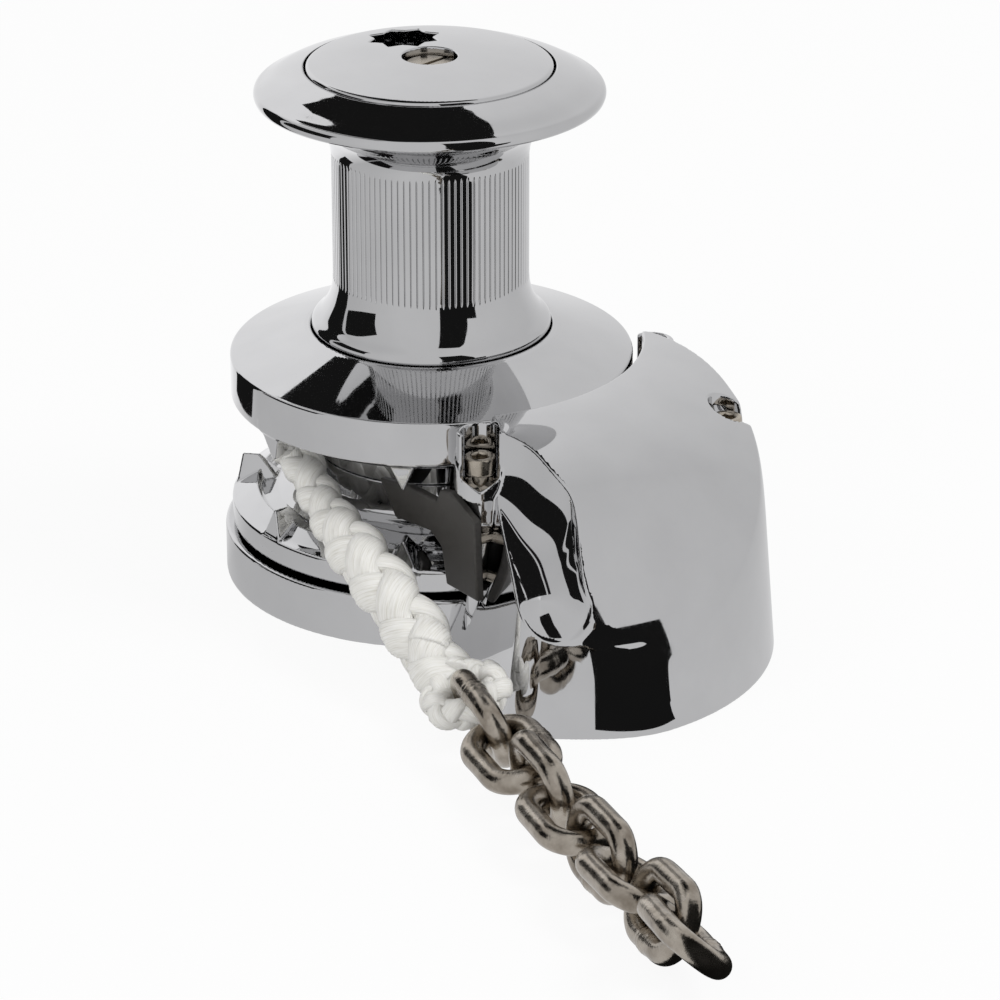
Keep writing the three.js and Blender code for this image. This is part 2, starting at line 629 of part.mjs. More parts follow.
part('gypsy_lower', gypsyLower());
part('gypsy_upper', gypsyUpper());
part('gypsy_bush', washer(GYPSY_BUSH, [0, 0], ROUND_SIDES / 2));
gypsyScrewPlaces.forEach((at, k) => {
  const { head, headH, shank, top, foot } = GYPSY_SCREW;
  const socket = prism(regular(6, head * HEX_ACROSS_SHARE, at), top - headH * HEX_DEPTH_SHARE, top + OVERRUN);
  part(`gypsy_screw_${k + 1}`, disc(head, top - headH, top, at).add(disc(shank, foot, top - headH / 2, at)).subtract(socket));
});

part('clutch_cone', turned([
  [SHAFT_R + GAP, LOW_CONE.z0], [LOW_CONE.r0, LOW_CONE.z0], [LOW_CONE.r1, LOW_CONE.z1], [SHAFT_R + GAP, LOW_CONE.z1],
]).subtract(keyBlock(LOW_KEY_Z, GAP)));

// Drum
function ribbed(points) {
  const outline = Array.from({ length: RIB_COUNT * 2 }, (_, i) => {
    const [c, s] = rootOfUnity((Math.PI * i) / RIB_COUNT);
    const r = points.r - (i % 2) * RIB_DEPTH;
    return [r * c, r * s];
  });
  return prism(outline, points.z0, points.z1);
}

function drum() {
  const outer = [...DRUM_FOOT, ...DRUM_NECK, ...DRUM_EDGE, ...DRUM_CROWN];
  const body = turned([
    [DRUM_BORE_R, DRUM_HUB_FOOT],
    [DRUM_HUB_R, DRUM_HUB_FOOT],
    [DRUM_HUB_R, DRUM_SHELL_TOP],
    [DRUM_SHELL_R, DRUM_SHELL_TOP],
    [DRUM_SHELL_R, HIGH_CONE.z0],
    [HIGH_CONE.r0, HIGH_CONE.z0],
    ...outer,
    [DRUM_CROWN[2][0], DRUM_LEDGE_Z],
    [DRUM_SEAT_R, DRUM_LEDGE_Z],
    [DRUM_SEAT_R, DRUM_SEAT_Z],
    [DRUM_BORE_R, DRUM_SEAT_Z],
  ]);
  const [z0, z1] = [DRUM_FOOT[5][1], DRUM_NECK[0][1]];
  const collar = turned([[DRUM_SHELL_R + OVERRUN, z0], [CORE_R, z0], [CORE_R, z1], [DRUM_SHELL_R + OVERRUN, z1]]);
  return body.subtract(collar.subtract(ribbed({ r: DRUM_FOOT[5][0], z0: z0 - OVERRUN, z1: z1 + OVERRUN })))
    .subtract(keyBlock(HIGH_KEY_Z, GAP).add(keyBlock([DRUM_HUB_FOOT - OVERRUN, HIGH_KEY_Z[0]], GAP)));
}

part('drum', drum());

// Clutch cap and its centre screw
const starOutline = Array.from({ length: STAR_POINTS * 2 }, (_, i) => {
  const [c, s] = rootOfUnity((Math.PI * i) / STAR_POINTS);
  const r = i % 2 ? STAR_VALLEY_R : STAR_R;
  return [STAR_AT[0] + r * c, STAR_AT[1] + r * s];
});

part('clutch_cap', turned([
  [CAP_BORE_R, CAP_FOOT],
  [CAP_BOSS_R, CAP_FOOT],
  [CAP_BOSS_R, CAP_LEDGE_Z],
  [CAP_R, CAP_LEDGE_Z],
  ...[...CAP_TOP].reverse(),
  [CAP_TOP[0][0], CAP_COUNTERBORE_Z],
  [CAP_BORE_R, CAP_COUNTERBORE_Z],
]).subtract(prism(starOutline, STAR_FLOOR, CAP_TOP[0][1] + OVERRUN)));

function centreScrew() {
  const { head, headZ, headTop, shank, foot, slot, slotH } = CENTRE_SCREW;
  const cut = block(-head - OVERRUN, head + OVERRUN, -slot / 2, slot / 2, headTop - slotH, headTop + OVERRUN);
  return disc(head, headZ, headTop, [0, 0], ROUND_SIDES / 2).add(disc(shank, foot, headZ + slotH)).subtract(cut);
}

part('cap_screw', centreScrew());
part('cap_screw_washer', washer({ r0: CENTRE_SCREW.shank + GAP, r1: CENTRE_WASHER.r, z0: CENTRE_WASHER.z0, z1: CENTRE_WASHER.z1 }, [0, 0], ROUND_SIDES / 2));

// Pressure arm
function armOutline() {
  const [dx, dy] = [ARM_TIP[0] - ARM_AT[0], ARM_TIP[1] - ARM_AT[1]];
  const along = Math.atan2(dy, dx);
  const arc = ([x, y], r, from) => Array.from({ length: ARM_ARC_STEPS + 1 }, (_, i) => {
    const [c, s] = rootOfUnity(from + (Math.PI * i) / ARM_ARC_STEPS);
    return [x + r * c, y + r * s];
  });
  return [...arc(ARM_TIP, ARM_TIP_R, along - Math.PI / 2), ...arc(ARM_AT, ARM_HUB_R, along + Math.PI / 2)];
}

part('pressure_arm', prism(armOutline(), ...ARM_Z).subtract(disc(PIN_R + PIN_CLEAR, ARM_Z[0] - OVERRUN, ARM_Z[1] + OVERRUN, ARM_AT)));
part('arm_pin', disc(PIN_R, ...PIN_Z, ARM_AT));
part('arm_clip', washer(CLIP, ARM_AT, SMALL_SIDES));

function springPoints() {
  const { r, z0, z1, turns, leg } = SPRING;
  const [x, y] = ARM_AT;
  const steps = turns * 8;
  const coil = Array.from({ length: steps + 1 }, (_, i) => {
    const [c, s] = rootOfUnity((2 * Math.PI * turns * i) / steps);
    return [x + r * c, y + r * s, z0 + ((z1 - z0) * i) / steps];
  });
  return [[x + r, y - leg, z0], ...coil, [x + r, y + leg, z1]];
}

part('arm_spring', rope(springPoints(), SPRING.wire, SPRING_STEPS, SPRING_SIDES));

// Rope
function wrapPoints() {
  const turn = Array.from({ length: WRAP_STEPS + 1 }, (_, i) => {
    const [c, s] = rootOfUnity(Math.PI - (Math.PI * i) / WRAP_STEPS);
    return [WRAP_R * c, WRAP_R * s + WRAP_RUN_IN, ROPE_Z];
  });
  return [[-WRAP_R, GAP, ROPE_Z], ...turn, ...WRAP_POINTS];
}

part('rope_wrap', rope(wrapPoints(), ROPE_R, 44, ROPE_SIDES));
part('rope_lead', rope(LEAD_POINTS, ROPE_R, LEAD_STEPS, ROPE_SIDES));

// Chain: each link lies along the line to its neighbours, turned about that line
function linkFrame(k) {
  const centre = (index) => new THREE.Vector3(...LINKS[index].slice(0, 3));
  const along = centre(Math.min(k + 1, LINKS.length - 1)).sub(centre(Math.max(k - 1, 0))).normalize();
  const flatSide = new THREE.Vector3(-along.y, along.x, 0).normalize();
  const flatUp = along.clone().cross(flatSide);
  const turn = LINKS[k][3] * DEG;
  const side = flatSide.multiplyScalar(Math.cos(turn)).addScaledVector(flatUp, Math.sin(turn));
  return { at: centre(k), along, side, up: along.clone().cross(side) };
}

function linkRing(k) {
  const { at, along, side, up } = linkFrame(k);
  const frames = [];
  for (const end of [0, 1]) {
    for (let i = 0; i <= LINK_BEND_STEPS; i += 1) {
      const [c, s] = rootOfUnity(end * Math.PI - Math.PI / 2 + (Math.PI * i) / LINK_BEND_STEPS);
      const out = along.clone().multiplyScalar(c).addScaledVector(side, s);
      const centre = at.clone().addScaledVector(along, end ? -LINK_STRAIGHT : LINK_STRAIGHT);
      frames.push({ at: centre.addScaledVector(out, LINK_BEND_R), side: out, up });
    }
  }
  return frames;
}

function link(k, wire = LINK_WIRE_R) {
  const frames = linkRing(k);
  return ringTube(frames, frames.map(() => wire), LINK_SIDES, true);
}

LINKS.forEach((_, k) => part(`chain_link_${k + 1}`, link(k)));

// Eye splice: a loop through the first link, and the neck that closes it
function eye() {
  const { at, along, side, up } = linkFrame(0);
  const centre = at.clone().addScaledVector(along, -LINK_STRAIGHT - LINK_BEND_R);
  const frames = Array.from({ length: EYE_STEPS }, (_, i) => {
    const [c, s] = rootOfUnity((2 * Math.PI * i) / EYE_STEPS);
    const out = along.clone().multiplyScalar(c).addScaledVector(up, s);
    return { at: centre.clone().addScaledVector(out, EYE_R), side: out, up: side };
  });
  const loop = ringTube(frames, frames.map(() => EYE_SECTION_R), EYE_SIDES, true);
  const neckFrames = curveFrames(NECK_POINTS, NECK_R.length - 1);
  return loop.add(ringTube(neckFrames, NECK_R, ROPE_SIDES, false)).subtract(link(0, LINK_WIRE_R + GAP));
}

part('rope_eye', eye());

// Row frame: the origin is the bottom centre of everything but the free rope and chain
const FREE = /^(rope_lead|rope_eye|chain_link_)/;
const fixed = new THREE.Box3();
group.children.filter(({ name }) => !FREE.test(name)).forEach((mesh) => fixed.expandByObject(mesh));
const middle = fixed.getCenter(new THREE.Vector3());
group.position.set(-middle.x, -middle.y, -fixed.min.z);

export default group;
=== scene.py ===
import math

import bpy
import numpy as np
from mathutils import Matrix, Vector

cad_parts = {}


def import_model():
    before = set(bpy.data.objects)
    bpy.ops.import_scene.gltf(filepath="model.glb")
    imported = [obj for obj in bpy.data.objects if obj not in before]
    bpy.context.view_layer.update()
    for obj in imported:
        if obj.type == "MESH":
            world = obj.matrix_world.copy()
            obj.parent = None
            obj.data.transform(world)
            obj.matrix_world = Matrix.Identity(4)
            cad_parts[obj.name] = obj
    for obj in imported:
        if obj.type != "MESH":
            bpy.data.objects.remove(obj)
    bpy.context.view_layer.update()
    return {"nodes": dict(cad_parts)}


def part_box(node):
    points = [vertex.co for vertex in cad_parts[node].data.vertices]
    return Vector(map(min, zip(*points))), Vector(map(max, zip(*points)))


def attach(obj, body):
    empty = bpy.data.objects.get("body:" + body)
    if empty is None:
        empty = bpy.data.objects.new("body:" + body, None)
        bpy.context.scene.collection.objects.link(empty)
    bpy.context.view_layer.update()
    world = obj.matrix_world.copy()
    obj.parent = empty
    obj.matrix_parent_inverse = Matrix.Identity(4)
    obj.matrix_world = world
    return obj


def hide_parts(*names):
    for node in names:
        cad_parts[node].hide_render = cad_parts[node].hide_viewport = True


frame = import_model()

# Lengths are in millimetres, with the main shaft's axis at the origin and the deck at z = 0.
# to_row() turns them into metres in the row frame.
MM = 0.001
_low, _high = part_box("main_shaft")
AXIS = np.array([(_low.x + _high.x) / 2, (_low.y + _high.y) / 2, 0.0]) / MM


def to_row(points):
    return (np.asarray(points, float) + AXIS) * MM


def place_object(name, data):
    made = bpy.data.objects.new(name, data)
    bpy.context.collection.objects.link(made)
    return made


# Camera, at the photograph's place
CAMERA_AT = (-500.17, -1267.20, 628.45)
CAMERA_FORWARD = (0.3496, 0.8440, -0.4067)
CAMERA_LENS = 158.4
CAMERA_SENSOR = 36.0


def make_camera():
    data = bpy.data.cameras.new("camera")
    data.lens = CAMERA_LENS
    data.sensor_width = CAMERA_SENSOR
    data.clip_start = 0.05
    data.clip_end = 50.0
    camera = place_object("camera", data)
    camera.location = to_row(CAMERA_AT)
    camera.rotation_euler = Vector(CAMERA_FORWARD).to_track_quat("-Z", "Y").to_euler()
    bpy.context.scene.camera = camera


make_camera()


# Materials
def set_inputs(node, values):
    for key, value in values.items():
        node.inputs[key].default_value = value


def new_material(name, base, metallic, roughness):
    mat = bpy.data.materials.new(name)
    mat.use_nodes = True
    shader = mat.node_tree.nodes["Principled BSDF"]
    set_inputs(shader, {"Base Color": (*base, 1.0), "Metallic": metallic, "Roughness": roughness})
    return mat, shader


def add(mat, kind, **values):
    node = mat.node_tree.nodes.new(kind)
    for key, value in values.items():
        if key in node.inputs:
            node.inputs[key].default_value = value
        else:
            setattr(node, key, value)
    return node


def wire(mat, source, output, target, socket):
    mat.node_tree.links.new(source.outputs[output], target.inputs[socket])


def noise(mat, scale, detail, stretch=(1, 1, 1)):
    place = add(mat, "ShaderNodeTexCoord")
    mapping = add(mat, "ShaderNodeMapping")
    mapping.inputs["Scale"].default_value = stretch
    wire(mat, place, "Object", mapping, "Vector")
    tex = add(mat, "ShaderNodeTexNoise", Scale=scale, Detail=detail)
    wire(mat, mapping, "Vector", tex, "Vector")
    return tex


def set_stops(node, stops):
    elements = node.color_ramp.elements
    while len(elements) < len(stops):
        elements.new(0.5)
    for element, (at, colour) in zip(elements, stops):
        element.position = at
        element.color = (*colour, 1.0)


def colour_by(mat, shader, tex, stops):
    node = add(mat, "ShaderNodeValToRGB")
    wire(mat, tex, "Fac", node, "Fac")
    set_stops(node, stops)
    wire(mat, node, "Color", shader, "Base Color")


# The part of a noise's range that the roughness follows
NOISE_LOW = 0.35
NOISE_HIGH = 0.7


def roughness_by(mat, shader, tex, low, high):
    spread = add(mat, "ShaderNodeMapRange")
    set_inputs(spread, {"From Min": NOISE_LOW, "From Max": NOISE_HIGH, "To Min": low, "To Max": high})
    wire(mat, tex, "Fac", spread, "Value")
    wire(mat, spread, "Result", shader, "Roughness")


def bump(mat, shader, tex, strength, distance):
    node = add(mat, "ShaderNodeBump", Strength=strength, Distance=distance)
    wire(mat, tex, "Fac", node, "Height")
    wire(mat, node, "Normal", shader, "Normal")


def chrome_material():
    mat, shader = new_material("chrome_polished", (0.62, 0.62, 0.625), 1.0, 0.04)
    cloud = noise(mat, 60.0, 4.0)
    colour_by(mat, shader, cloud, [(0.3, (0.605, 0.605, 0.61)), (0.7, (0.635, 0.635, 0.64))])
    wipe = noise(mat, 900.0, 2.0, (1, 1, 0.15))
    roughness_by(mat, shader, wipe, 0.02, 0.06)
    ripple = noise(mat, 40.0, 1.0)
    bump(mat, shader, ripple, 0.06, 0.0003)
    return mat


def grained_material(name, base, metallic, rough, cloud, stops, rough_range, fine, relief):
    """A surface whose colour and roughness follow one noise, and its relief another."""
    mat, shader = new_material(name, base, metallic, rough)
    tex = noise(mat, *cloud)
    colour_by(mat, shader, tex, stops)
    if rough_range:
        roughness_by(mat, shader, tex, *rough_range)
    bump(mat, shader, noise(mat, *fine), *relief)
    return mat


def steel_material(name, base, rough, grain=(1, 1, 1)):
    dark, light = tuple(c * 0.82 for c in base), tuple(min(1, c * 1.12) for c in base)
    return grained_material(
        name, base, 1.0, rough, (260.0, 5.0, grain), [(0.3, dark), (0.7, light)],
        (rough * 0.7, rough * 1.3), (1500.0, 3.0, grain), (0.15, 0.0001),
    )


def chain_material():
    stops = [(0.28, (0.24, 0.205, 0.165)), (0.5, (0.42, 0.375, 0.32)), (0.74, (0.60, 0.55, 0.48))]
    return grained_material(
        "chain_steel", (0.42, 0.38, 0.33), 1.0, 0.3, (140.0, 6.0), stops,
        (0.14, 0.30), (900.0, 4.0), (0.35, 0.00025),
    )


def rope_material():
    mat, shader = new_material("rope_nylon", (0.83, 0.82, 0.78), 0.0, 0.42)
    set_inputs(shader, {
        "Sheen Weight": 0.35, "Sheen Roughness": 0.35, "Subsurface Weight": 0.12,
        "Subsurface Radius": (0.002, 0.002, 0.0018), "Subsurface Scale": 0.6,
    })
    lay = add(mat, "ShaderNodeAttribute", attribute_name="lay")
    stretch = add(mat, "ShaderNodeMapping")
    stretch.inputs["Scale"].default_value = (90.0, 5.0, 1.0)
    wire(mat, lay, "Vector", stretch, "Vector")
    fibre = add(mat, "ShaderNodeTexNoise", Scale=1.0, Detail=3.0)
    wire(mat, stretch, "Vector", fibre, "Vector")
    stops = [(0.25, (0.70, 0.68, 0.62)), (0.5, (0.86, 0.85, 0.81)), (0.72, (0.93, 0.925, 0.90))]
    colour_by(mat, shader, fibre, stops)
    roughness_by(mat, shader, fibre, 0.32, 0.52)
    bump(mat, shader, fibre, 0.55, 0.0003)
    return mat


def plastic_material():
    stops = [(0.3, (0.040, 0.037, 0.034)), (0.7, (0.060, 0.057, 0.053))]
    return grained_material(
        "stripper_charcoal", (0.05, 0.047, 0.044), 0.0, 0.48, (700.0, 4.0), stops,
        (0.42, 0.58), (700.0, 4.0), (0.2, 0.0001),
    )


def rubber_material():
    stops = [(0.3, (0.022, 0.022, 0.022)), (0.7, (0.04, 0.04, 0.04))]
    return grained_material(
        "seal_rubber", (0.03, 0.03, 0.03), 0.0, 0.6, (900.0, 3.0), stops,
        None, (900.0, 3.0), (0.2, 0.0001),
    )


MATERIALS = {
    "chrome": chrome_material(),
    "screw_steel": steel_material("screw_steel", (0.50, 0.45, 0.38), 0.28),
    "stripper_black": plastic_material(),
    "shaft_steel": steel_material("shaft_steel", (0.52, 0.52, 0.53), 0.25, (1, 1, 0.1)),
    "spring_steel": steel_material("spring_steel", (0.45, 0.45, 0.47), 0.3),
    "bronze": steel_material("bronze_machined", (0.62, 0.45, 0.24), 0.3),
    "seal_rubber": rubber_material(),
    "rope_white": rope_material(),
    "chain_steel": chain_material(),
}


# Meshes
def mesh_object(name, points, faces, normals=None):
    points, faces = to_row(points), np.asarray(faces, np.int32)
    mesh = bpy.data.meshes.new(name)
    mesh.vertices.add(len(points))
    mesh.vertices.foreach_set("co", points.ravel())
    mesh.loops.add(faces.size)
    mesh.loops.foreach_set("vertex_index", faces.ravel())
    mesh.polygons.add(len(faces))
    mesh.polygons.foreach_set("loop_start", np.arange(0, faces.size, faces.shape[1], dtype=np.int32))
    mesh.polygons.foreach_set("use_smooth", np.full(len(faces), True))
    mesh.update(calc_edges=True)
    if normals is not None:
        mesh.normals_split_custom_set_from_vertices(normals.tolist())
    return place_object(name, mesh)


def finish_piece(made, body, slot, *nodes):
    made.data.materials.append(MATERIALS[slot])
    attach(made, body)
    if nodes:
        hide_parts(*nodes)
    return made


def full_turn(count):
    return np.linspace(0, 2 * math.pi, count, endpoint=False)


def unit(vectors):
    return vectors / np.maximum(np.linalg.norm(vectors, axis=-1, keepdims=True), 1e-12)


# A solid given as a field of signed distance, meshed on a grid and pulled onto the exact surface
PULLS = 4
CORNERS = np.array([(i, j, k) for i in (0, 1) for j in (0, 1) for k in (0, 1)])
EDGES = [(a, b) for a in range(8) for b in range(a + 1, 8) if np.abs(CORNERS[a] - CORNERS[b]).sum() == 1]


def slope_of(field, p, reach=0.03):
    parts = []
    for axis in range(3):
        step = np.zeros(3)
        step[axis] = reach
        ahead, behind = p + step, p - step
        parts.append((field(*ahead.T) - field(*behind.T)) / (2 * reach))
    return np.stack(parts, axis=-1)


def cell_points(value, cells, start, step):
    corner = [value[tuple((cells + c).T)] for c in CORNERS]
    total, count = np.zeros((len(cells), 3)), np.zeros(len(cells))
    for a, b in EDGES:
        crossed = (corner[a] < 0) != (corner[b] < 0)
        share = np.where(crossed, corner[a] / np.where(crossed, corner[a] - corner[b], 1), 0)
        place = CORNERS[a] + share[:, None] * (CORNERS[b] - CORNERS[a])
        total += np.where(crossed[:, None], place, 0)
        count += crossed
    return start + (cells + total / count[:, None]) * step


def cell_faces(inside, index):
    quads = []
    for axis in range(3):
        b, c = (axis + 1) % 3, (axis + 2) % 3
        ahead = np.swapaxes(np.swapaxes(inside, 0, axis)[1:], 0, axis)
        behind = np.swapaxes(np.swapaxes(inside, 0, axis)[:-1], 0, axis)
        at = np.argwhere(ahead != behind)
        ring = []
        for back_b, back_c in ((1, 1), (0, 1), (0, 0), (1, 0)):
            cell = at.copy()
            cell[:, b] -= back_b
            cell[:, c] -= back_c
            ring.append(index[tuple(cell.T)])
        ring = np.stack(ring, axis=1)
        outward = behind[tuple(at.T)]
        quads.append(np.where(outward[:, None], ring, ring[:, ::-1]))
    return np.concatenate(quads)


def carve(name, field, low, high, step, body, slot, node):
    start = np.array(low, float) - 2 * step
    counts = [int(math.ceil((b - a) / step)) + 5 for a, b in zip(low, high)]
    axes = [start[k] + step * np.arange(counts[k]) for k in range(3)]
    grid = np.meshgrid(*axes, indexing="ij", sparse=True)
    value = np.ascontiguousarray(np.broadcast_to(field(*grid), counts))
    inside = value < 0
    filled = sum(
        inside[i:i + counts[0] - 1, j:j + counts[1] - 1, k:k + counts[2] - 1].astype(np.int8)
        for i, j, k in CORNERS
    )
    cells = np.argwhere((filled > 0) & (filled < 8))
    index = np.full([n - 1 for n in counts], -1, np.int32)
    index[tuple(cells.T)] = np.arange(len(cells))
    points = cell_points(value, cells, start, step)
    faces = cell_faces(inside, index)
    for _ in range(PULLS):
        slope = slope_of(field, points)
        size = np.maximum((slope ** 2).sum(axis=1), 0.05)
        move = np.clip(field(*points.T) / size, -0.4 * step, 0.4 * step)
        points = points - move[:, None] * slope
    made = mesh_object(name, points, faces, unit(slope_of(field, points)))
    finish_piece(made, body, slot, node)


def smin(a, b, blend):
    h = np.maximum(blend - np.abs(a - b), 0) / blend
    return np.minimum(a, b) - h * h * blend / 4


def smax(a, b, blend):
    return -smin(-a, -b, blend)


def rod(x, y, z, at, radius, z0, z1, blend=None):
    across = np.hypot(x - at[0], y - at[1]) - radius
    along = np.abs(z - (z0 + z1) / 2) - (z1 - z0) / 2
    return smax(across, along, blend) if blend else np.maximum(across, along)


def beyond(x, y, at, normal):
    """Distance past a line in the plane, given a place on it and its normal."""
    return normal[0] * (x - at[0]) + normal[1] * (y - at[1])


def polygon(u, v, outline):
    """Signed distance to a polygon in the plane."""
    nearest, winding = np.full(np.broadcast(u, v).shape, np.inf), np.ones(np.broadcast(u, v).shape)
    for (au, av), (bu, bv) in zip(outline, outline[1:] + outline[:1]):
        eu, ev = bu - au, bv - av
        wu, wv = u - au, v - av
        share = np.clip((wu * eu + wv * ev) / (eu * eu + ev * ev), 0, 1)
        nearest = np.minimum(nearest, (wu - eu * share) ** 2 + (wv - ev * share) ** 2)
        above, below, left = av <= v, bv > v, eu * wv > ev * wu
        flip = (above & below & left) | (~above & ~below & ~left)
        winding = np.where(flip, -winding, winding)
    return winding * np.sqrt(nearest)


def star_outline(count, outer, inner, at):
    rows = []
    for i in range(count * 2):
        angle = math.pi * i / count
        r = inner if i % 2 else outer
        rows.append((at[0] + r * math.cos(angle), at[1] + r * math.sin(angle)))
    return rows


def hex_outline(radius, at, turn):
    angles = [turn + math.pi * i / 3 for i in range(6)]
    return [(at[0] + radius * math.cos(a), at[1] + radius * math.sin(a)) for a in angles]


# Curves
SPLINE_STEPS = 60


def spline(points, step):
    """Points every step along a centripetal Catmull-Rom curve through the given ones."""
    p = np.asarray(points, float)
    p = np.vstack([2 * p[0] - p[1], p, 2 * p[-1] - p[-2]])
    gaps = np.sqrt(np.linalg.norm(np.diff(p, axis=0), axis=1))
    dense = []
    for k in range(1, len(p) - 2):
        t0, t1 = 0.0, gaps[k - 1]
        t2, t3 = t1 + gaps[k], t1 + gaps[k] + gaps[k + 1]
        t = np.linspace(t1, t2, SPLINE_STEPS, endpoint=False)[:, None]
        a1 = (t1 - t) / (t1 - t0) * p[k - 1] + (t - t0) / (t1 - t0) * p[k]
        a2 = (t2 - t) / (t2 - t1) * p[k] + (t - t1) / (t2 - t1) * p[k + 1]
        a3 = (t3 - t) / (t3 - t2) * p[k + 1] + (t - t2) / (t3 - t2) * p[k + 2]
        b1 = (t2 - t) / (t2 - t0) * a1 + (t - t0) / (t2 - t0) * a2
        b2 = (t3 - t) / (t3 - t1) * a2 + (t - t1) / (t3 - t1) * a3
        dense.append((t2 - t) / (t2 - t1) * b1 + (t - t1) / (t2 - t1) * b2)
    dense = np.vstack(dense + [p[-2:-1]])
    length = np.concatenate([[0], np.cumsum(np.linalg.norm(np.diff(dense, axis=0), axis=1))])
    count = max(2, int(round(length[-1] / step)) + 1)
    at = np.linspace(0, length[-1], count)
    return np.stack([np.interp(at, length, dense[:, k]) for k in range(3)], axis=1), at


def frames_along(path):
    tangent, up = unit(np.gradient(path, axis=0)), np.array((0.0, 0.0, 1.0))
    side = [unit(up - tangent[0] * np.dot(up, tangent[0]))]
    for t in tangent[1:]:
        moved = side[-1] - t * np.dot(side[-1], t)
        side.append(unit(moved))
    side = np.array(side)
    return tangent, side, np.cross(tangent, side)


def sweep_mesh(rings, closed):
    """Faces of a tube through rings of points: rings has shape (rings, sides, 3)."""
    count, sides = rings.shape[:2]
    last = count if closed else count - 1
    k, i = np.meshgrid(np.arange(last), np.arange(sides), indexing="ij")
    n, j = (k + 1) % count, (i + 1) % sides
    faces = np.stack([k * sides + i, k * sides + j, n * sides + j, n * sides + i], axis=-1).reshape(-1, 4)
    points = rings.reshape(-1, 3)
    if closed:
        return points, faces
    caps = []
    for ring, turn in ((0, -1), (count - 1, 1)):
        middle = len(points)
        points = np.vstack([points, rings[ring].mean(axis=0)])
        around = ring * sides + np.arange(sides)
        after = ring * sides + (np.arange(sides) + 1) % sides
        pair = (around, after) if turn > 0 else (after, around)
        caps.append(np.stack([pair[0], pair[1], np.full(sides, middle), np.full(sides, middle)], axis=1))
    return points, np.vstack([faces, *caps])


# Rope: four wide strands of fine yarns, plaited
ROPE_R = 7.0
ROPE_Z = 45.0
WRAP_R = 47.5
WRAP_RUN_IN = 2.3
WRAP_POINTS = [
    (48, -30, 45), (48, -52, 45), (48.4, -66, 42.2), (48.9, -77, 35),
    (49.5, -84.6, 24), (49.8, -87.6, 11), (49.9, -88, 3.6),
]
LEAD_POINTS = [
    (-47.5, -0.3, 45), (-47.5, -2, 45), (-47.5, -9, 42.6), (-47.5, -19, 38.8), (-47.5, -33, 36),
    (-47.4, -47, 34.2), (-46.8, -63.3, 31.8), (-45.1, -77.1, 28), (-43, -92, 22.4), (-41.6, -103.4, 17.4),
]
# Radius of the lead at its distances from the gypsy
LEAD_RADII = [(0, 7.0), (24, 7.1), (34, 8.0), (50, 9.6), (80, 10.3), (100, 10.5)]
HUMP_SHARE = 2.1
STRAND_SIDES = 72
YARNS = 26
PATH_STEP = 0.8
# A strand's half width, half height, distance from the rope's middle and its sway, in a rope of radius 7
STRAND_WIDE = 4.35
STRAND_TALL = 2.55
STRAND_OUT = 3.45
STRAND_SWAY = 1.3
YARN_TWIST = 0.315
YARN_DEPTH = 0.02
GROOVE_DEPTH, GROOVE_WIDTH = 0.07, 0.16
# Keeps the fibre pattern of one strand apart from the next one's
STRAND_APART = 3.7
WRAP_STEPS = 12


def strand(path, side, up, phase, radius, sign, half):
    """Rings of one strand; phase counts its half turns about the rope."""
    size = radius / ROPE_R
    angle = math.pi * (sign * phase + half)
    reach = size * (STRAND_OUT + sign * STRAND_SWAY * np.cos(2 * math.pi * phase))
    out = side * np.cos(angle)[:, None] + up * np.sin(angle)[:, None]
    centre = path + out * reach[:, None]
    run = unit(np.gradient(centre, axis=0))
    out = unit(out - run * (out * run).sum(axis=1)[:, None])
    across = np.cross(run, out)
    turn = full_turn(STRAND_SIDES)
    lay = turn[None, :] + YARN_TWIST * sign * phase[:, None]
    groove = 1 - GROOVE_DEPTH * np.exp(-((turn - math.pi / 2) / GROOVE_WIDTH) ** 2)
    ridge = groove[None, :] * (1 + YARN_DEPTH * np.cos(YARNS * lay))
    wide, tall = STRAND_WIDE * size[:, None] * ridge, STRAND_TALL * size[:, None] * ridge
    rings = (
        centre[:, None]
        + across[:, None] * (wide * np.cos(turn))[..., None]
        + out[:, None] * (tall * np.sin(turn))[..., None]
    )
    return rings, lay


def plait(name, path, phase, radius, closed=False, frames=None):
    _, side, up = frames if frames else frames_along(path)
    points, faces, lays = [], [], []
    start = 0
    for number, (sign, half) in enumerate((s, h) for s in (1, -1) for h in (0, 1)):
        rings, lay = strand(path, side, up, phase, radius, sign, half)
        p, f = sweep_mesh(rings, closed)
        points.append(p)
        faces.append(f + start)
        start += len(p)
        along, apart = np.broadcast_to(phase[:, None], lay.shape), np.full(lay.shape, number * STRAND_APART)
        rows = np.stack([lay / (2 * math.pi), along, apart], axis=-1).reshape(-1, 3)
        if not closed:
            rows = np.vstack([rows, np.zeros((2, 3))])
        lays.append(rows)
    made = mesh_from_lists(name, np.vstack(points), np.vstack(faces))
    attribute = made.data.attributes.new("lay", "FLOAT_VECTOR", "POINT")
    attribute.data.foreach_set("vector", np.vstack(lays).astype(np.float32).ravel())
    return made


def phase_along(at, radius):
    """Half turns of the strands up to each place, which keep in step with the rope's thickness."""
    steps = np.diff(at) / (HUMP_SHARE * (radius[1:] + radius[:-1]) / 2)
    return np.concatenate([[0], np.cumsum(steps)])


def mesh_from_lists(name, points, faces):
    """A mesh of quads, of which those with the same last two corners are triangles."""
    mesh = bpy.data.meshes.new(name)
    sides = [f[:3] if f[2] == f[3] else f for f in faces.tolist()]
    mesh.from_pydata(to_row(points).tolist(), [], sides)
    mesh.polygons.foreach_set("use_smooth", np.full(len(mesh.polygons), True))
    mesh.update()
    return place_object(name, mesh)


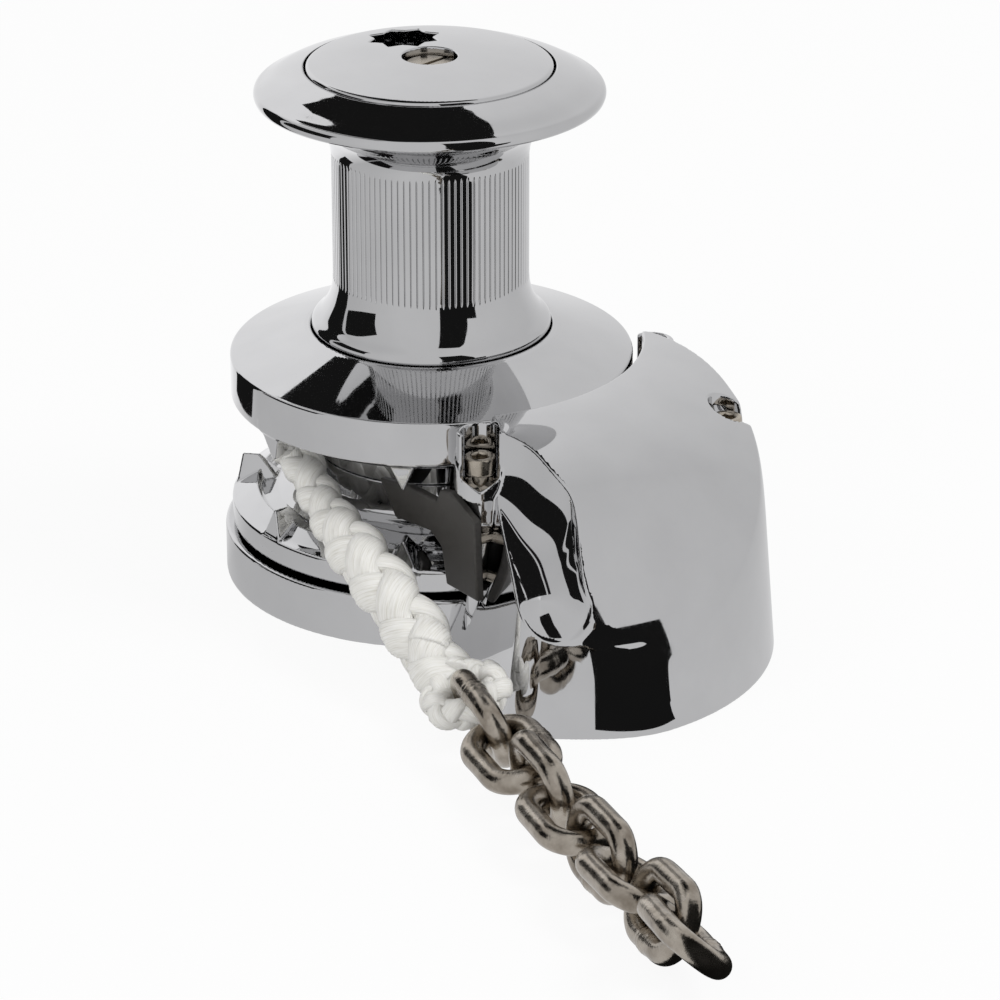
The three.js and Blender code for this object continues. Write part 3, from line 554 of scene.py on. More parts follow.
def wrap_points():
    turn = []
    for i in range(WRAP_STEPS + 1):
        angle = math.pi - math.pi * i / WRAP_STEPS
        turn.append((WRAP_R * math.cos(angle), WRAP_R * math.sin(angle) + WRAP_RUN_IN, ROPE_Z))
    return [(-WRAP_R, 0.3, ROPE_Z), *turn, *WRAP_POINTS]


def rope_pieces():
    whole, at = spline(wrap_points()[::-1] + LEAD_POINTS[1:], PATH_STEP)
    frames = frames_along(whole)
    joint = int(np.argmin(np.linalg.norm(whole - np.array(LEAD_POINTS[0]), axis=1)))
    radius = np.interp(at - at[joint], *np.array(LEAD_RADII).T)
    phase = phase_along(at, radius)
    pieces = []
    for name, part in (("rope_wrap_plait", slice(0, joint + 1)), ("rope_lead_plait", slice(joint, None))):
        cut = tuple(f[part] for f in frames)
        pieces.append(plait(name, whole[part], phase[part], radius[part], frames=cut))
    return pieces, whole[joint:], at[-1] - at[joint], phase[-1]


(rope_wrap, rope_lead), LEAD_PATH, LEAD_LENGTH, LEAD_PHASE = rope_pieces()
finish_piece(rope_wrap, "base", "rope_white", "rope_wrap")
finish_piece(rope_lead, "base", "rope_white", "rope_lead")

# Chain
LINK_WIRE_R = 4.0
LINK_BEND_R = 9.5
LINK_STRAIGHT = 6.5
LINK_RINGS = 150
LINK_SIDES = 32
# The bare wire is thinner than in the solids, which leaves room for the weld and the rough skin
LINK_SKIN_SHARE = 0.968
# Each link's centre, and its turn about its own length in degrees
LINK_PLACES = [
    (-40.1, -143.7, 14.2, 110), (-40.8, -167.2, 13.1, 16), (-39.8, -188.6, 13.6, 96),
    (-40.9, -211, 12.5, -2), (-40.3, -233.9, 13.5, 80), (-40.4, -253.9, 12.9, -22),
    (-40.1, -276.8, 15.2, 66), (-42.2, -295.9, 17.7, -42),
]
WELD_SIDE = [1, 1, -1, 1, -1, 1, -1, 1]
# Ridges beside a weld: height as a share of the wire's radius, distance from the weld and half width
WELD_RIDGES = [(0.07, 0.0, 1.9), (0.035, 2.0, 0.45), (0.03, 0.0, 0.35)]
WELD_ROUGH = 0.012
WELD_ROUGH_RUN = 2.4
# Slight waves of the wire: how many along the link and how many round the wire
WAVES = ((2, 1), (3, 2), (5, 2), (7, 3))
WAVE_SHARE = 0.006


def link_frame(k):
    places = np.array(LINK_PLACES, float)[:, :3]
    along = unit(places[min(k + 1, len(places) - 1)] - places[max(k - 1, 0)])
    flat_side = unit(np.array([-along[1], along[0], 0.0]))
    turn = math.radians(LINK_PLACES[k][3])
    side = flat_side * math.cos(turn) + np.cross(along, flat_side) * math.sin(turn)
    return places[k], along, side, np.cross(along, side)


def link_line(samples):
    """A link's centreline in its own plane: along it, to its side, and how far from the weld."""
    arc, straight = math.pi * LINK_BEND_R, 2 * LINK_STRAIGHT
    total = 2 * (arc + straight)
    s = np.linspace(0, total, samples, endpoint=False)
    u, v = np.zeros(samples), np.zeros(samples)
    for k, value in enumerate(s):
        half, rest = divmod(value, arc + straight)
        if rest < straight:
            a, b = LINK_STRAIGHT - rest, LINK_BEND_R
        else:
            angle = math.pi / 2 + (rest - straight) / LINK_BEND_R
            a, b = -LINK_STRAIGHT + LINK_BEND_R * math.cos(angle), LINK_BEND_R * math.sin(angle)
        sign = -1 if half else 1
        u[k], v[k] = sign * a, sign * b
    return u, v, np.minimum(np.abs(s - LINK_STRAIGHT), total - np.abs(s - LINK_STRAIGHT))


def make_link(k):
    at, along, side, up = link_frame(k)
    u, v, weld = link_line(LINK_RINGS)
    side_sign = WELD_SIDE[k]
    centre = at + np.outer(u, along) + np.outer(v * side_sign, side)
    tangent = unit(np.roll(centre, -1, axis=0) - np.roll(centre, 1, axis=0))
    out = np.cross(tangent, up) * side_sign
    out = np.where(((centre - at) * out).sum(axis=1)[:, None] < 0, -out, out)
    turn = full_turn(LINK_SIDES)
    random = np.random.default_rng(40 + k)
    ridges = sum(height * np.exp(-((weld - at_weld) / width) ** 2) for height, at_weld, width in WELD_RIDGES)
    near_weld = np.exp(-(weld / WELD_ROUGH_RUN) ** 2)[:, None]
    rough = near_weld * random.normal(0, WELD_ROUGH, (len(u), len(turn)))
    wave = sum(
        WAVE_SHARE * np.cos(n * 2 * math.pi * np.arange(len(u)) / len(u) + random.uniform(0, 6))[:, None]
        * np.cos(m * turn + random.uniform(0, 6))
        for n, m in WAVES
    )
    radius = LINK_WIRE_R * LINK_SKIN_SHARE * (1 + ridges[:, None] + rough + wave)
    rings = (
        centre[:, None]
        + out[:, None] * (radius * np.cos(turn))[..., None]
        + np.broadcast_to(up, out.shape)[:, None] * (radius * np.sin(turn))[..., None]
    )
    points, faces = sweep_mesh(rings, True)
    made = mesh_object(f"chain_link_{k + 1}_forged", points, faces)
    return finish_piece(made, f"link_{k + 1}", "chain_steel", f"chain_link_{k + 1}")


LINKS = [make_link(k) for k in range(len(LINK_PLACES))]

# Eye splice
EYE_R = 9.9
EYE_SECTION_R = 5.2
EYE_HALF_TURNS = 6
EYE_RINGS = 96
NECK_END_R = 7.0
NECK_POINTS = [(-41.43, -104.3, 17.04), (-41, -108.5, 15.7), (-40.1, -115, 15.3), (-39.9, -119.5, 15.2)]


def make_eye():
    at, along, _, up = link_frame(0)
    centre = at - along * (LINK_STRAIGHT + LINK_BEND_R)
    turn = full_turn(EYE_RINGS)
    out = np.outer(np.cos(turn), along) + np.outer(np.sin(turn), up)
    path = centre + out * EYE_R
    tangent = np.outer(-np.sin(turn), along) + np.outer(np.cos(turn), up)
    phase = turn / (2 * math.pi) * EYE_HALF_TURNS
    frames = (tangent, out, np.cross(tangent, out))
    return plait("rope_eye_plait", path, phase, np.full(EYE_RINGS, EYE_SECTION_R), True, frames)


def make_neck():
    path, at = spline([LEAD_PATH[-3].tolist(), *NECK_POINTS], PATH_STEP)
    lead_end = LEAD_RADII[-1][1]
    radius = lead_end - (lead_end - NECK_END_R) * (at / at[-1]) ** 2
    return plait("rope_neck_plait", path, phase_along(at, radius) + LEAD_PHASE, radius)


rope_eye = finish_piece(make_eye(), "base", "rope_white", "rope_eye")
rope_neck = finish_piece(make_neck(), "base", "rope_white")


# Form of the chain pipe cover, the same as in the solids
LEAN = math.radians(4.7)
LOBE_AT = (5.2, -68.5)
LOBE_R = 81.6
LOBE_STRETCH = 7.0
FACET_AT = (-13.3, -141.2)
FACET_NORMAL = (0.468, 0.8837)
SIDE_AT = (-26.6, -134.0)
SIDE_NORMAL = (0.9825, -0.1862)
FLARE_AT = (473.0, -120.0)
FLARE_R = 500.0
FLARE_H = 45.0
CROWN_Z = 82.0
CROWN_ARC_R = 80.0
CROWN_FLAT_R = 70.0
ROOF_BLEND = 14.0
COVER_WALL = 4.2
COVER_ROOF = 4.0
GYPSY_ROOM_R = 70.5


def cad_min(a, b, blend):
    h = np.clip(0.5 + 0.5 * (b - a) / blend, 0, 1)
    return b * (1 - h) + a * h - blend * h * (1 - h)


def cover_skin(x, y, z, wall, roof):
    """Signed distance, nearly, to the domed shell's surface moved in by wall and roof."""
    along = y - LOBE_AT[1]
    bent = np.where(along > 0, np.maximum(along - LOBE_STRETCH, 0), along)
    lobe = LOBE_R - np.hypot(x - LOBE_AT[0], bent)
    facet = beyond(x, y, FACET_AT, FACET_NORMAL)
    share = np.maximum(0, 1 - z / FLARE_H) ** 2
    foot = FLARE_R - np.hypot(x - FLARE_AT[0], y - FLARE_AT[1])
    side = share * foot + (1 - share) * beyond(x, y, SIDE_AT, SIDE_NORMAL)
    inset = cad_min(cad_min(lobe, facet, 10), side, 7) - wall
    fall = np.maximum(np.hypot(x, y) - CROWN_FLAT_R, 0)
    arc = np.sqrt(CROWN_ARC_R ** 2 - np.minimum(fall, CROWN_ARC_R - 1) ** 2)
    crown = CROWN_Z - CROWN_ARC_R + arc - roof
    steep = inset / math.tan(LEAN)
    h = np.clip(0.5 + 0.5 * (crown - steep) / ROOF_BLEND, 0, 1)
    height = crown * (1 - h) + steep * h - ROOF_BLEND * h * (1 - h)
    return (z - height) / np.hypot(1, h / math.tan(LEAN) + (1 - h) * fall / arc)


# Rows of the swept front from its top to its foot: y, then x and z of its left rim, trough and right rim
SWEEP = np.array([
    (-79, -19, 58.5, -14.5, 61.5, -12, 82), (-84, -19, 56, -14.5, 60.5, -8.5, 80.5),
    (-90.8, -20, 52, -15, 57.5, -4.4, 79.1), (-102.9, -22, 46, -16, 52.5, -0.9, 74.8),
    (-114.1, -23.5, 43, -17, 47.6, 1.8, 68.6), (-120, -24.5, 41.4, -17.5, 44.8, 0.7, 64.4),
    (-129.5, -25.5, 39.6, -18, 39.3, -2, 55.2), (-133.6, -26, 38.6, -17.5, 35.6, -2.7, 50.2),
    (-137.5, -27, 37, -16, 32.4, -2, 44.9), (-142, -28, 34, -14, 30.4, 1.8, 36.6),
    (-143.6, -29, 33, -12, 30.2, 12.4, 31.9), (-144.8, -30, 32, -10, 30, 25, 30.2),
    (-153, -32, 31, -8, 29.6, 34, 29.8),
])[::-1]


SWEEP_SMOOTH = 25


def sweep_table():
    """The swept front's six lines at even steps of y, smoothed."""
    ys = np.arange(-155, -78, 0.1)
    columns = []
    for k in range(1, 7):
        values, places = SWEEP[:, k], SWEEP[:, 0]
        rise = np.gradient(values, places)
        j = np.clip(np.searchsorted(places, ys) - 1, 0, len(places) - 2)
        gap = places[j + 1] - places[j]
        t = np.clip((ys - places[j]) / gap, 0, 1)
        h00, h10 = 2 * t ** 3 - 3 * t ** 2 + 1, t ** 3 - 2 * t ** 2 + t
        h01, h11 = -2 * t ** 3 + 3 * t ** 2, t ** 3 - t ** 2
        columns.append(h00 * values[j] + h10 * gap * rise[j] + h01 * values[j + 1] + h11 * gap * rise[j + 1])
    kernel = np.hanning(SWEEP_SMOOTH)
    kernel /= kernel.sum()
    pad = SWEEP_SMOOTH // 2
    smooth = [np.convolve(np.pad(c, pad, mode="edge"), kernel, mode="valid") for c in columns]
    return ys, smooth


SWEEP_Y, SWEEP_COLUMNS = sweep_table()


def sweep_room(x, y, z):
    """Positive inside the room cut away over the swept front."""
    rx, rz, tx, tz, ex, ez = [np.interp(y, SWEEP_Y, c) for c in SWEEP_COLUMNS]
    ez = np.maximum(ez, tz + 0.6)
    share = np.clip((x - rx) / (tx - rx), 0, 1)
    left = z - (rz + (tz - rz) * (1 - (1 - share) ** 2.3))
    a, b = np.maximum(x - tx, 0) / (ex - tx), np.maximum(ez - z, 0) / (ez - tz)
    rho = np.maximum(np.hypot(a, b), 1e-6)
    steep = np.maximum(np.hypot(a / (ex - tx), b / (ez - tz)), 1e-6) / rho
    wall = (1 - rho) / steep
    return np.where(x < tx, left, wall)


SCREWS = {
    "ear": dict(at=(-14.3, -77.6), top=72.0, head=5.0, shank=3.0, foot=5.0),
    "side": dict(at=(73.5, -75.3), top=70.6, head=5.0, shank=3.0, foot=18.0),
    "back": dict(at=(71.8, -19.5), top=71.0, head=4.25, shank=2.5, foot=8.0),
}
HEAD_H = 6.0
POST_R, POST_H = 6.4, 30.0
LUG_R, LUG_H = 5.1, 17.0
BACK_EAR_R, BACK_EAR_TOP = 7.5, 77
BOSS_R = 8.3
BOSS_RIGHT, BOSS_BACK = (0.924, -0.383), (0.383, 0.924)
BOSS_RUN = (10.0, 12.0)
BOSS_SLOPE = 0.62
BLADE_FROM = np.array([-32.0, -30.0])
BLADE_TO = np.array([-20.0, -90.0])
BLADE_DIR = unit(BLADE_TO - BLADE_FROM)
BLADE_NORMAL = np.array([-BLADE_DIR[1], BLADE_DIR[0]])
BLADE_T = 3.0
BLADE_OUTLINE = [
    (2.2, 48.6), (20, 52.2), (36.5, 53.2), (38.6, 57.6), (44.3, 59), (58.7, 53.6),
    (60.3, 26.4), (42.2, 25.7), (39.4, 37.8), (32.9, 41), (11.8, 38),
]
BLADE_SEAT = [(36, 24.6), (61.6, 24.6), (61.6, 57), (44.5, 61.4), (36, 59)]


def blade_place(x, y):
    return beyond(x, y, BLADE_FROM, BLADE_DIR), beyond(x, y, BLADE_FROM, BLADE_NORMAL)


EAR_TOP = 80.6
EAR_FOOT = 17.6


def ear_rod(x, y, z):
    at = SCREWS["ear"]["at"]
    radius = np.interp(z, [44, 56], [4.6, 7.5])
    return smax(np.hypot(x - at[0], y - at[1]) - radius, np.maximum(z - EAR_TOP, EAR_FOOT - z), 1.2)


def ear_boss(x, y, z):
    """The raised boss round the ear's screw, open on its front left side."""
    at = SCREWS["ear"]["at"]
    a, b = beyond(x, y, at, BOSS_RIGHT), beyond(x, y, at, BOSS_BACK)
    share = np.clip((a * BOSS_RUN[0] + b * BOSS_RUN[1]) / (BOSS_RUN[0] ** 2 + BOSS_RUN[1] ** 2), 0, 1)
    side = np.hypot(a - share * BOSS_RUN[0], b - share * BOSS_RUN[1]) - BOSS_R
    top = (z - SCREWS["ear"]["top"] - BOSS_SLOPE * b) / math.hypot(1, BOSS_SLOPE)
    top = smax(top, z - EAR_TOP, 1.5)
    body = smax(smax(side, top, 0.9), 50 - z, 2.0)
    mouth = smax(np.maximum(np.abs(a) - 6.2, b + 2), 62.5 + 0.6 * np.abs(a) - z, 0.8)
    return smax(body, -mouth, 0.8)


def screw_cuts(x, y, z):
    cut = None
    for s in SCREWS.values():
        room = rod(x, y, z, s["at"], s["head"] + 1.2, s["top"] - HEAD_H - 0.3, 90)
        hole = rod(x, y, z, s["at"], s["shank"] + 0.4, -5, s["top"])
        both = np.minimum(room, hole)
        cut = both if cut is None else np.minimum(cut, both)
    s = SCREWS["side"]
    along = np.clip((x - s["at"][0]) * 0.98 - (y - s["at"][1]) * 0.2, 0, 9)
    notch = np.hypot(x - s["at"][0] - along * 0.98, y - s["at"][1] + along * 0.2) - s["head"]
    return np.minimum(cut, np.maximum(notch, s["top"] - HEAD_H + 0.3 - z))


def cover_field(x, y, z):
    room = smin(sweep_room(x, y, z), -79 - y, 1.5)
    outer = cover_skin(x, y, z, 0, 0)
    back = rod(x, y, z, SCREWS["back"]["at"], BACK_EAR_R, -5, BACK_EAR_TOP, 1.2)
    shell = smin(smin(outer, ear_rod(x, y, z), 2.0), back, 2.0)
    shell = smax(shell, room, 0.9)
    shell = smin(shell, ear_boss(x, y, z), 1.2)
    hollow = smax(cover_skin(x, y, z, COVER_WALL, COVER_ROOF), room + COVER_WALL, 1.5)
    for s in SCREWS.values():
        hollow = smax(hollow, -rod(x, y, z, s["at"], POST_R, POST_H + 1, 100), 1.0)
    body = smax(shell, -hollow, 0.8)
    body = smax(body, GYPSY_ROOM_R - np.hypot(x, y), 0.9)
    body = smax(body, -screw_cuts(x, y, z), 0.7)
    body = np.maximum(body, -rod(x, y, z, SCREWS["ear"]["at"], LUG_R + 0.3, -5, LUG_H + 0.3))
    for name in ("side", "back"):
        body = np.maximum(body, -rod(x, y, z, SCREWS[name]["at"], POST_R + 0.5, -5, POST_H + 0.3))
    s, t = blade_place(x, y)
    seat = np.maximum(convex(s, z, BLADE_SEAT), t - BLADE_T - 0.3)
    body = smax(body, -seat, 0.5)
    return smax(body, -z, 0.8)


def convex(u, v, outline):
    """Signed distance, nearly, to a convex polygon that runs anticlockwise."""
    worst = None
    for (au, av), (bu, bv) in zip(outline, outline[1:] + outline[:1]):
        size = math.hypot(bu - au, bv - av)
        beyond = ((u - au) * (bv - av) - (v - av) * (bu - au)) / size
        worst = beyond if worst is None else np.maximum(worst, beyond)
    return worst


COVER_STEP = 0.7
carve(
    "chain_pipe_cover_casting", cover_field, (-32, -152, 0), (89, 16, 83), COVER_STEP,
    "base", "chrome", "chain_pipe_cover",
)


# Stripper
def stripper_field(x, y, z):
    s, t = blade_place(x, y)
    return smax(polygon(s, z, BLADE_OUTLINE), np.abs(t - BLADE_T / 2) - BLADE_T / 2, 0.9)


carve(
    "stripper_blade", stripper_field, (-34, -92, 25), (-17, -29, 60), 0.45,
    "base", "stripper_black", "stripper",
)


# Screws of the cover, with a hexagonal socket
SOCKET_TURN = 0.3
SCREW_STEP = 0.3


def cover_screw(name, at, top, head, shank, foot):
    def field(x, y, z):
        cap = rod(x, y, z, at, head, top - HEAD_H, top, 0.9)
        stem = rod(x, y, z, at, shank, foot, top - HEAD_H / 2)
        hexagon = hex_outline(head * 0.56, at, SOCKET_TURN)
        socket = np.maximum(polygon(x, y, hexagon), top - HEAD_H * 0.55 - z)
        mouth = np.hypot(x - at[0], y - at[1]) - head * 0.62 + (top - z)
        return smax(smax(np.minimum(cap, stem), -socket, 0.3), -mouth, 0.3)
    low = (at[0] - head, at[1] - head, foot)
    high = (at[0] + head, at[1] + head, top)
    carve(
        f"screw_{name}_turned", field, low, high, SCREW_STEP, "base", "screw_steel", f"cover_screw_{name}",
    )


for _name, _screw in SCREWS.items():
    cover_screw(_name, **_screw)


# Deck base
BASE_R, BASE_H = 70.0, 17.0
PLATE_H, PLATE_INSET = 6.0, 4.7
ARM_PIN_AT = (62.5, -64.0)
ARM_POST_R, ARM_POST_H = 5.2, 39.0
ARM_HOLE_R, ARM_HOLE_FLOOR = 2.8, 1.7
SHAFT_HOLE_R = 14.4
RODE_HOLE_AT = (50.0, -92.0)
RODE_HOLE_R = 19.0


def base_field(x, y, z):
    boss = rod(x, y, z, (0, 0), BASE_R, 0, BASE_H, 1.2)
    skin = cover_skin(x, y, np.full_like(z, PLATE_H), PLATE_INSET, 0)
    plate = np.maximum(skin, np.abs(z - PLATE_H / 2) - PLATE_H / 2)
    lug = rod(x, y, z, SCREWS["ear"]["at"], LUG_R, 0, LUG_H)
    posts = [rod(x, y, z, SCREWS[n]["at"], POST_R, 0, POST_H) for n in ("side", "back")]
    posts.append(rod(x, y, z, ARM_PIN_AT, ARM_POST_R, 0, ARM_POST_H))
    body = np.minimum(np.minimum(boss, plate), lug)
    for post in posts:
        body = np.minimum(body, post)
    holes = [rod(x, y, z, (0, 0), SHAFT_HOLE_R, -5, 30), rod(x, y, z, RODE_HOLE_AT, RODE_HOLE_R, -5, 10)]
    holes.append(rod(x, y, z, ARM_PIN_AT, ARM_HOLE_R, ARM_HOLE_FLOOR, 50))
    holes += [rod(x, y, z, s["at"], s["shank"] + 0.3, s["foot"] - 0.3, 40) for s in SCREWS.values()]
    for hole in holes:
        body = smax(body, -hole, 0.5)
    return body


BASE_STEP = 0.9
carve("deck_base_casting", base_field, (-70, -147, 0), (84, 70, 39), BASE_STEP, "base", "chrome", "deck_base")

# Gypsy
TEETH = 8
TOOTH_AT = math.radians(15)
TOOTH_OUTLINE = [(53, 23), (67, 23), (66.6, 26), (65, 36), (59, 36), (53, 29.5)]
POCKET_R = [39.8, 44, 52, 60, 70]
POCKET_Z = [34.2, 31.9, 29.2, 27.4, 25.6]
CORE_R = 39.8
CORE_TOP = 44.85
GYPSY_BORE_R = 15.0
GYPSY_MIDDLE = 45.0
CREST_Z, CREST_RISE = 26.2, 0.56
CREST_IN_R, CREST_IN_Z, CREST_IN_LEAN = 58.0, 28, 0.35
TOOTH_TIP_Z, TOOTH_TAPER = 37.2, 0.42
LOWER_CONE_R, LOWER_CONE_SLOPE, LOWER_CONE_TOP = 36.4, 6 / 15.8, 34.6
UPPER_CONE_R, UPPER_CONE_SLOPE, UPPER_CONE_FOOT = 33.4, 6.8 / 23.5, 63.6
DRUM_ROOM_R, DRUM_ROOM_Z = 27.5, 62
LOWER_RIM_R, LOWER_FOOT = 67.5, 18.8
UPPER_RIM_R, UPPER_FOOT = 67.3, 3.0
RING_EDGE_Z = 78.0
RING_RISE_SHARE = 9 / 26


def gypsy_half(x, y, z, rim_r, rim_foot):
    """Lower half; the upper one is the same seen upside down."""
    r = np.hypot(x, y)
    floor = np.interp(r, POCKET_R, POCKET_Z)
    slope = (z - (CREST_Z + (rim_r - 0.3 - r) * CREST_RISE)) * 0.87
    crest = smax(slope, CREST_IN_R - r + (z - CREST_IN_Z) * CREST_IN_LEAN, 0.8)
    top = smin((z - floor) * 0.95, crest, 1.2)
    disc_part = smax(smax(r - rim_r, rim_foot - z, 1.0), top, 0.8)
    core = smax(r - CORE_R, z - CORE_TOP, 0.5)
    core = np.maximum(core, rim_foot - z)
    body = smin(disc_part, core, 2.5)
    angle = np.mod(np.arctan2(y, x) - TOOTH_AT + math.pi / TEETH, 2 * math.pi / TEETH) - math.pi / TEETH
    along, across = r * np.cos(angle), np.abs(r * np.sin(angle))
    width = np.clip((TOOTH_TIP_Z - z) * TOOTH_TAPER, 0.25, 5)
    tooth = smax(convex(along, z, TOOTH_OUTLINE), (across - width) * 0.92, 1.0)
    return smin(body, tooth, 1.2)


def gypsy_lower_field(x, y, z):
    r = np.hypot(x, y)
    body = gypsy_half(x, y, z, LOWER_RIM_R, LOWER_FOOT)
    body = smax(body, GYPSY_BORE_R - r, 0.4)
    cone = np.maximum(r - (LOWER_CONE_R - (z - LOWER_FOOT) * LOWER_CONE_SLOPE), z - LOWER_CONE_TOP)
    return smax(body, -cone, 0.4)


def gypsy_upper_field(x, y, z):
    r = np.hypot(x, y)
    half = gypsy_half(x, y, 2 * GYPSY_MIDDLE - z, UPPER_RIM_R, UPPER_FOOT)
    ring_top = (z - RING_EDGE_Z - (UPPER_RIM_R - r) * RING_RISE_SHARE) * 0.945
    band = smax(r - UPPER_RIM_R, ring_top, 1.1)
    body = smax(half, band, 0.4)
    shell_room = np.maximum(r - DRUM_ROOM_R, DRUM_ROOM_Z - z)
    cone = r - (UPPER_CONE_R + (z - UPPER_CONE_FOOT) * UPPER_CONE_SLOPE)
    cone = np.maximum(cone, UPPER_CONE_FOOT - z)
    body = smax(body, GYPSY_BORE_R - r, 0.4)
    return smax(body, -np.minimum(shell_room, cone), 0.8)


GYPSY_STEP = 0.65
GYPSY_HALVES = (("gypsy_lower", gypsy_lower_field, 18, 46), ("gypsy_upper", gypsy_upper_field, 44, 88))
for _name, _field, _foot, _top in GYPSY_HALVES:
    _box = (-68, -68, _foot), (68, 68, _top)
    carve(f"{_name}_casting", _field, *_box, GYPSY_STEP, "gypsy", "chrome", _name)


# Drum, turned
FILLET_R = 0.5
FILLET_STEPS = 5


def fillet(profile):
    """A closed outline with its corners rounded; a corner is (r, z) or (r, z, radius)."""
    rows = []
    for k, corner in enumerate(profile):
        p = np.array(corner[:2], float)
        radius = corner[2] if len(corner) > 2 else FILLET_R
        before = np.array(profile[k - 1][:2], float)
        after = np.array(profile[(k + 1) % len(profile)][:2], float)
        a, b = unit(before - p), unit(after - p)
        half = math.acos(max(-1, min(1, float(np.dot(a, b))))) / 2
        if radius <= 0 or half > 1.45:
            rows.append(p)
            continue
        room = 0.45 * min(np.linalg.norm(before - p), np.linalg.norm(after - p))
        back = min(radius / math.tan(half), room)
        radius = back * math.tan(half)
        centre = p + unit(a + b) * radius / math.sin(half)
        start, end = p + a * back, p + b * back
        first, last = math.atan2(*(start - centre)[::-1]), math.atan2(*(end - centre)[::-1])
        span = (last - first + math.pi) % (2 * math.pi) - math.pi
        for i in range(FILLET_STEPS + 1):
            angle = first + span * i / FILLET_STEPS
            rows.append(centre + radius * np.array([math.cos(angle), math.sin(angle)]))
    return np.array(rows)


def smooth_run(points):
    """A smooth run of (r, z) points through the given ones."""
    path, _ = spline([(r, z, 0) for r, z in points], 0.6)
    return [(r, z, 0) for r, z, _ in path]


def lathe(name, profile, angles, cut):
    """A closed outline turned about the shaft, less the depth that cut gives."""
    r, z = profile[:, 0], profile[:, 1]
    reach = r[None, :] - cut(angles[:, None], r[None, :], z[None, :])
    points = np.stack([
        reach * np.cos(angles)[:, None], reach * np.sin(angles)[:, None],
        np.broadcast_to(z[None, :], reach.shape),
    ], axis=-1)
    around = np.roll(points, -1, axis=0) - np.roll(points, 1, axis=0)
    along = np.roll(points, -1, axis=1) - np.roll(points, 1, axis=1)
    normals = unit(np.cross(around, along))
    count, size = reach.shape
    k, i = np.meshgrid(np.arange(count), np.arange(size), indexing="ij")
    n, j = (k + 1) % count, (i + 1) % size
    faces = np.stack([k * size + i, n * size + i, n * size + j, k * size + j], axis=-1).reshape(-1, 4)
    area = float((r * np.roll(z, -1) - np.roll(r, -1) * z).sum())
    if area < 0:
        faces, normals = faces[:, ::-1], -normals
    return mesh_object(name, points.reshape(-1, 3), faces, normals.reshape(-1, 3))


# Flutes round the barrel: the corners of one, as shares of its width, and their depth
RIBS = 98
RIB_Z = (104.0, 148.5)
RIB_SHAPE = np.array([0.0, 0.16, 0.30, 0.40, 0.45, 0.50, 0.55, 0.60, 0.70, 0.84])
RIB_DEPTH = np.array([0.0, 0.0, 0.0, 0.02, 0.22, 0.34, 0.22, 0.02, 0.0, 0.0])
BARREL_R = 32.5
PILOT_R = 41.0
PILOT_Z = 169.6
CAP_ROOM_R = 37.6
DRUM_SEAT_Z = 160.0
DRUM_BORE_R = 11.35
DRUM_FOOT_Z = 64.0


def drum_piece():
    foot = smooth_run([(39.8, 87.5), (39.6, 89.4), (36.6, 92.6), (34.2, 96.6), (32.9, 101), (32.5, 105)])
    barrel = [(BARREL_R, z, 0) for z in np.linspace(106, 146, 21)]
    neck = smooth_run([(32.5, 147), (33.2, 151), (35.6, 155.2), (40, 159.2), (47, 163.2), (55, 165.6)])
    edge = smooth_run([(57.1, 166.5), (57.5, 168), (56.9, 169.6), (55, 170.7)])
    crown = smooth_run([(55, 170.7), (50, 173.4), (45, 175.3), (41.2, 176.5)])[1:]
    inside = [
        (PILOT_R, PILOT_Z, 0.2), (CAP_ROOM_R, PILOT_Z, 0.3), (CAP_ROOM_R, DRUM_SEAT_Z, 0.3),
        (DRUM_BORE_R, DRUM_SEAT_Z, 0.3), (DRUM_BORE_R, DRUM_FOOT_Z, 0.3), (16, DRUM_FOOT_Z, 0.3),
        (16, 146, 0.3), (27.5, 146, 0.3), (27.5, DRUM_FOOT_Z, 0.3), (33, DRUM_FOOT_Z, 0.4),
    ]
    outer = [*foot, *barrel, *neck, *edge, *crown]
    profile = fillet([*outer, *inside])
    share = (np.arange(RIBS)[:, None] + RIB_SHAPE[None, :]).ravel() / RIBS
    angles = share * 2 * math.pi

    def ribs(a, r, z):
        place = (a / (2 * math.pi) * RIBS) % 1.0
        depth = np.interp(place, [*RIB_SHAPE, 1.0], [*RIB_DEPTH, 0.0])
        fade = np.clip((z - RIB_Z[0]) / 1.5, 0, 1) * np.clip((RIB_Z[1] - z) / 1.5, 0, 1)
        return depth * fade * (r > 30) * (r < 34)

    return lathe("drum_turned", profile, angles, ribs)


finish_piece(drum_piece(), "drum", "chrome", "drum")

# Clutch cap
STAR = star_outline(8, 12.2, 9.4, (0, 23))
STAR_FLOOR = 163.4
CAP_R = 40.5
CAP_TOP = 179.95
CAP_FALL = 2.65
CAP_RIM_FOOT = 170.2
CAP_BOSS_R = 37.2
CAP_BOSS_FOOT = 160.6


def cap_field(x, y, z):
    r = np.hypot(x, y)
    top = CAP_TOP - CAP_FALL * (np.minimum(r, 41) / 40) ** 2.6
    disc_part = smax(smax(r - CAP_R, (z - top) * 0.98, 1.4), CAP_RIM_FOOT - z, 0.5)
    boss = smax(r - CAP_BOSS_R, CAP_BOSS_FOOT - z, 0.5)
    boss = np.maximum(boss, z - 175)
    body = smin(disc_part, boss, 0.4)
    body = smax(body, -rod(x, y, z, (0, 0), 8.3, 150, 190), 0.3)
    body = smax(body, -rod(x, y, z, (0, 0), 9.0, 170, 195, 0.3), 0.7)
    star = np.maximum(polygon(x, y, STAR), STAR_FLOOR - z)
    return smax(body, -star, 0.6)


carve("clutch_cap_casting", cap_field, (-41, -41, 160), (41, 41, 180.2), 0.55, "cap", "chrome", "clutch_cap")


# Slotted screw at the centre of the cap
SLOT_TURN = 0.45


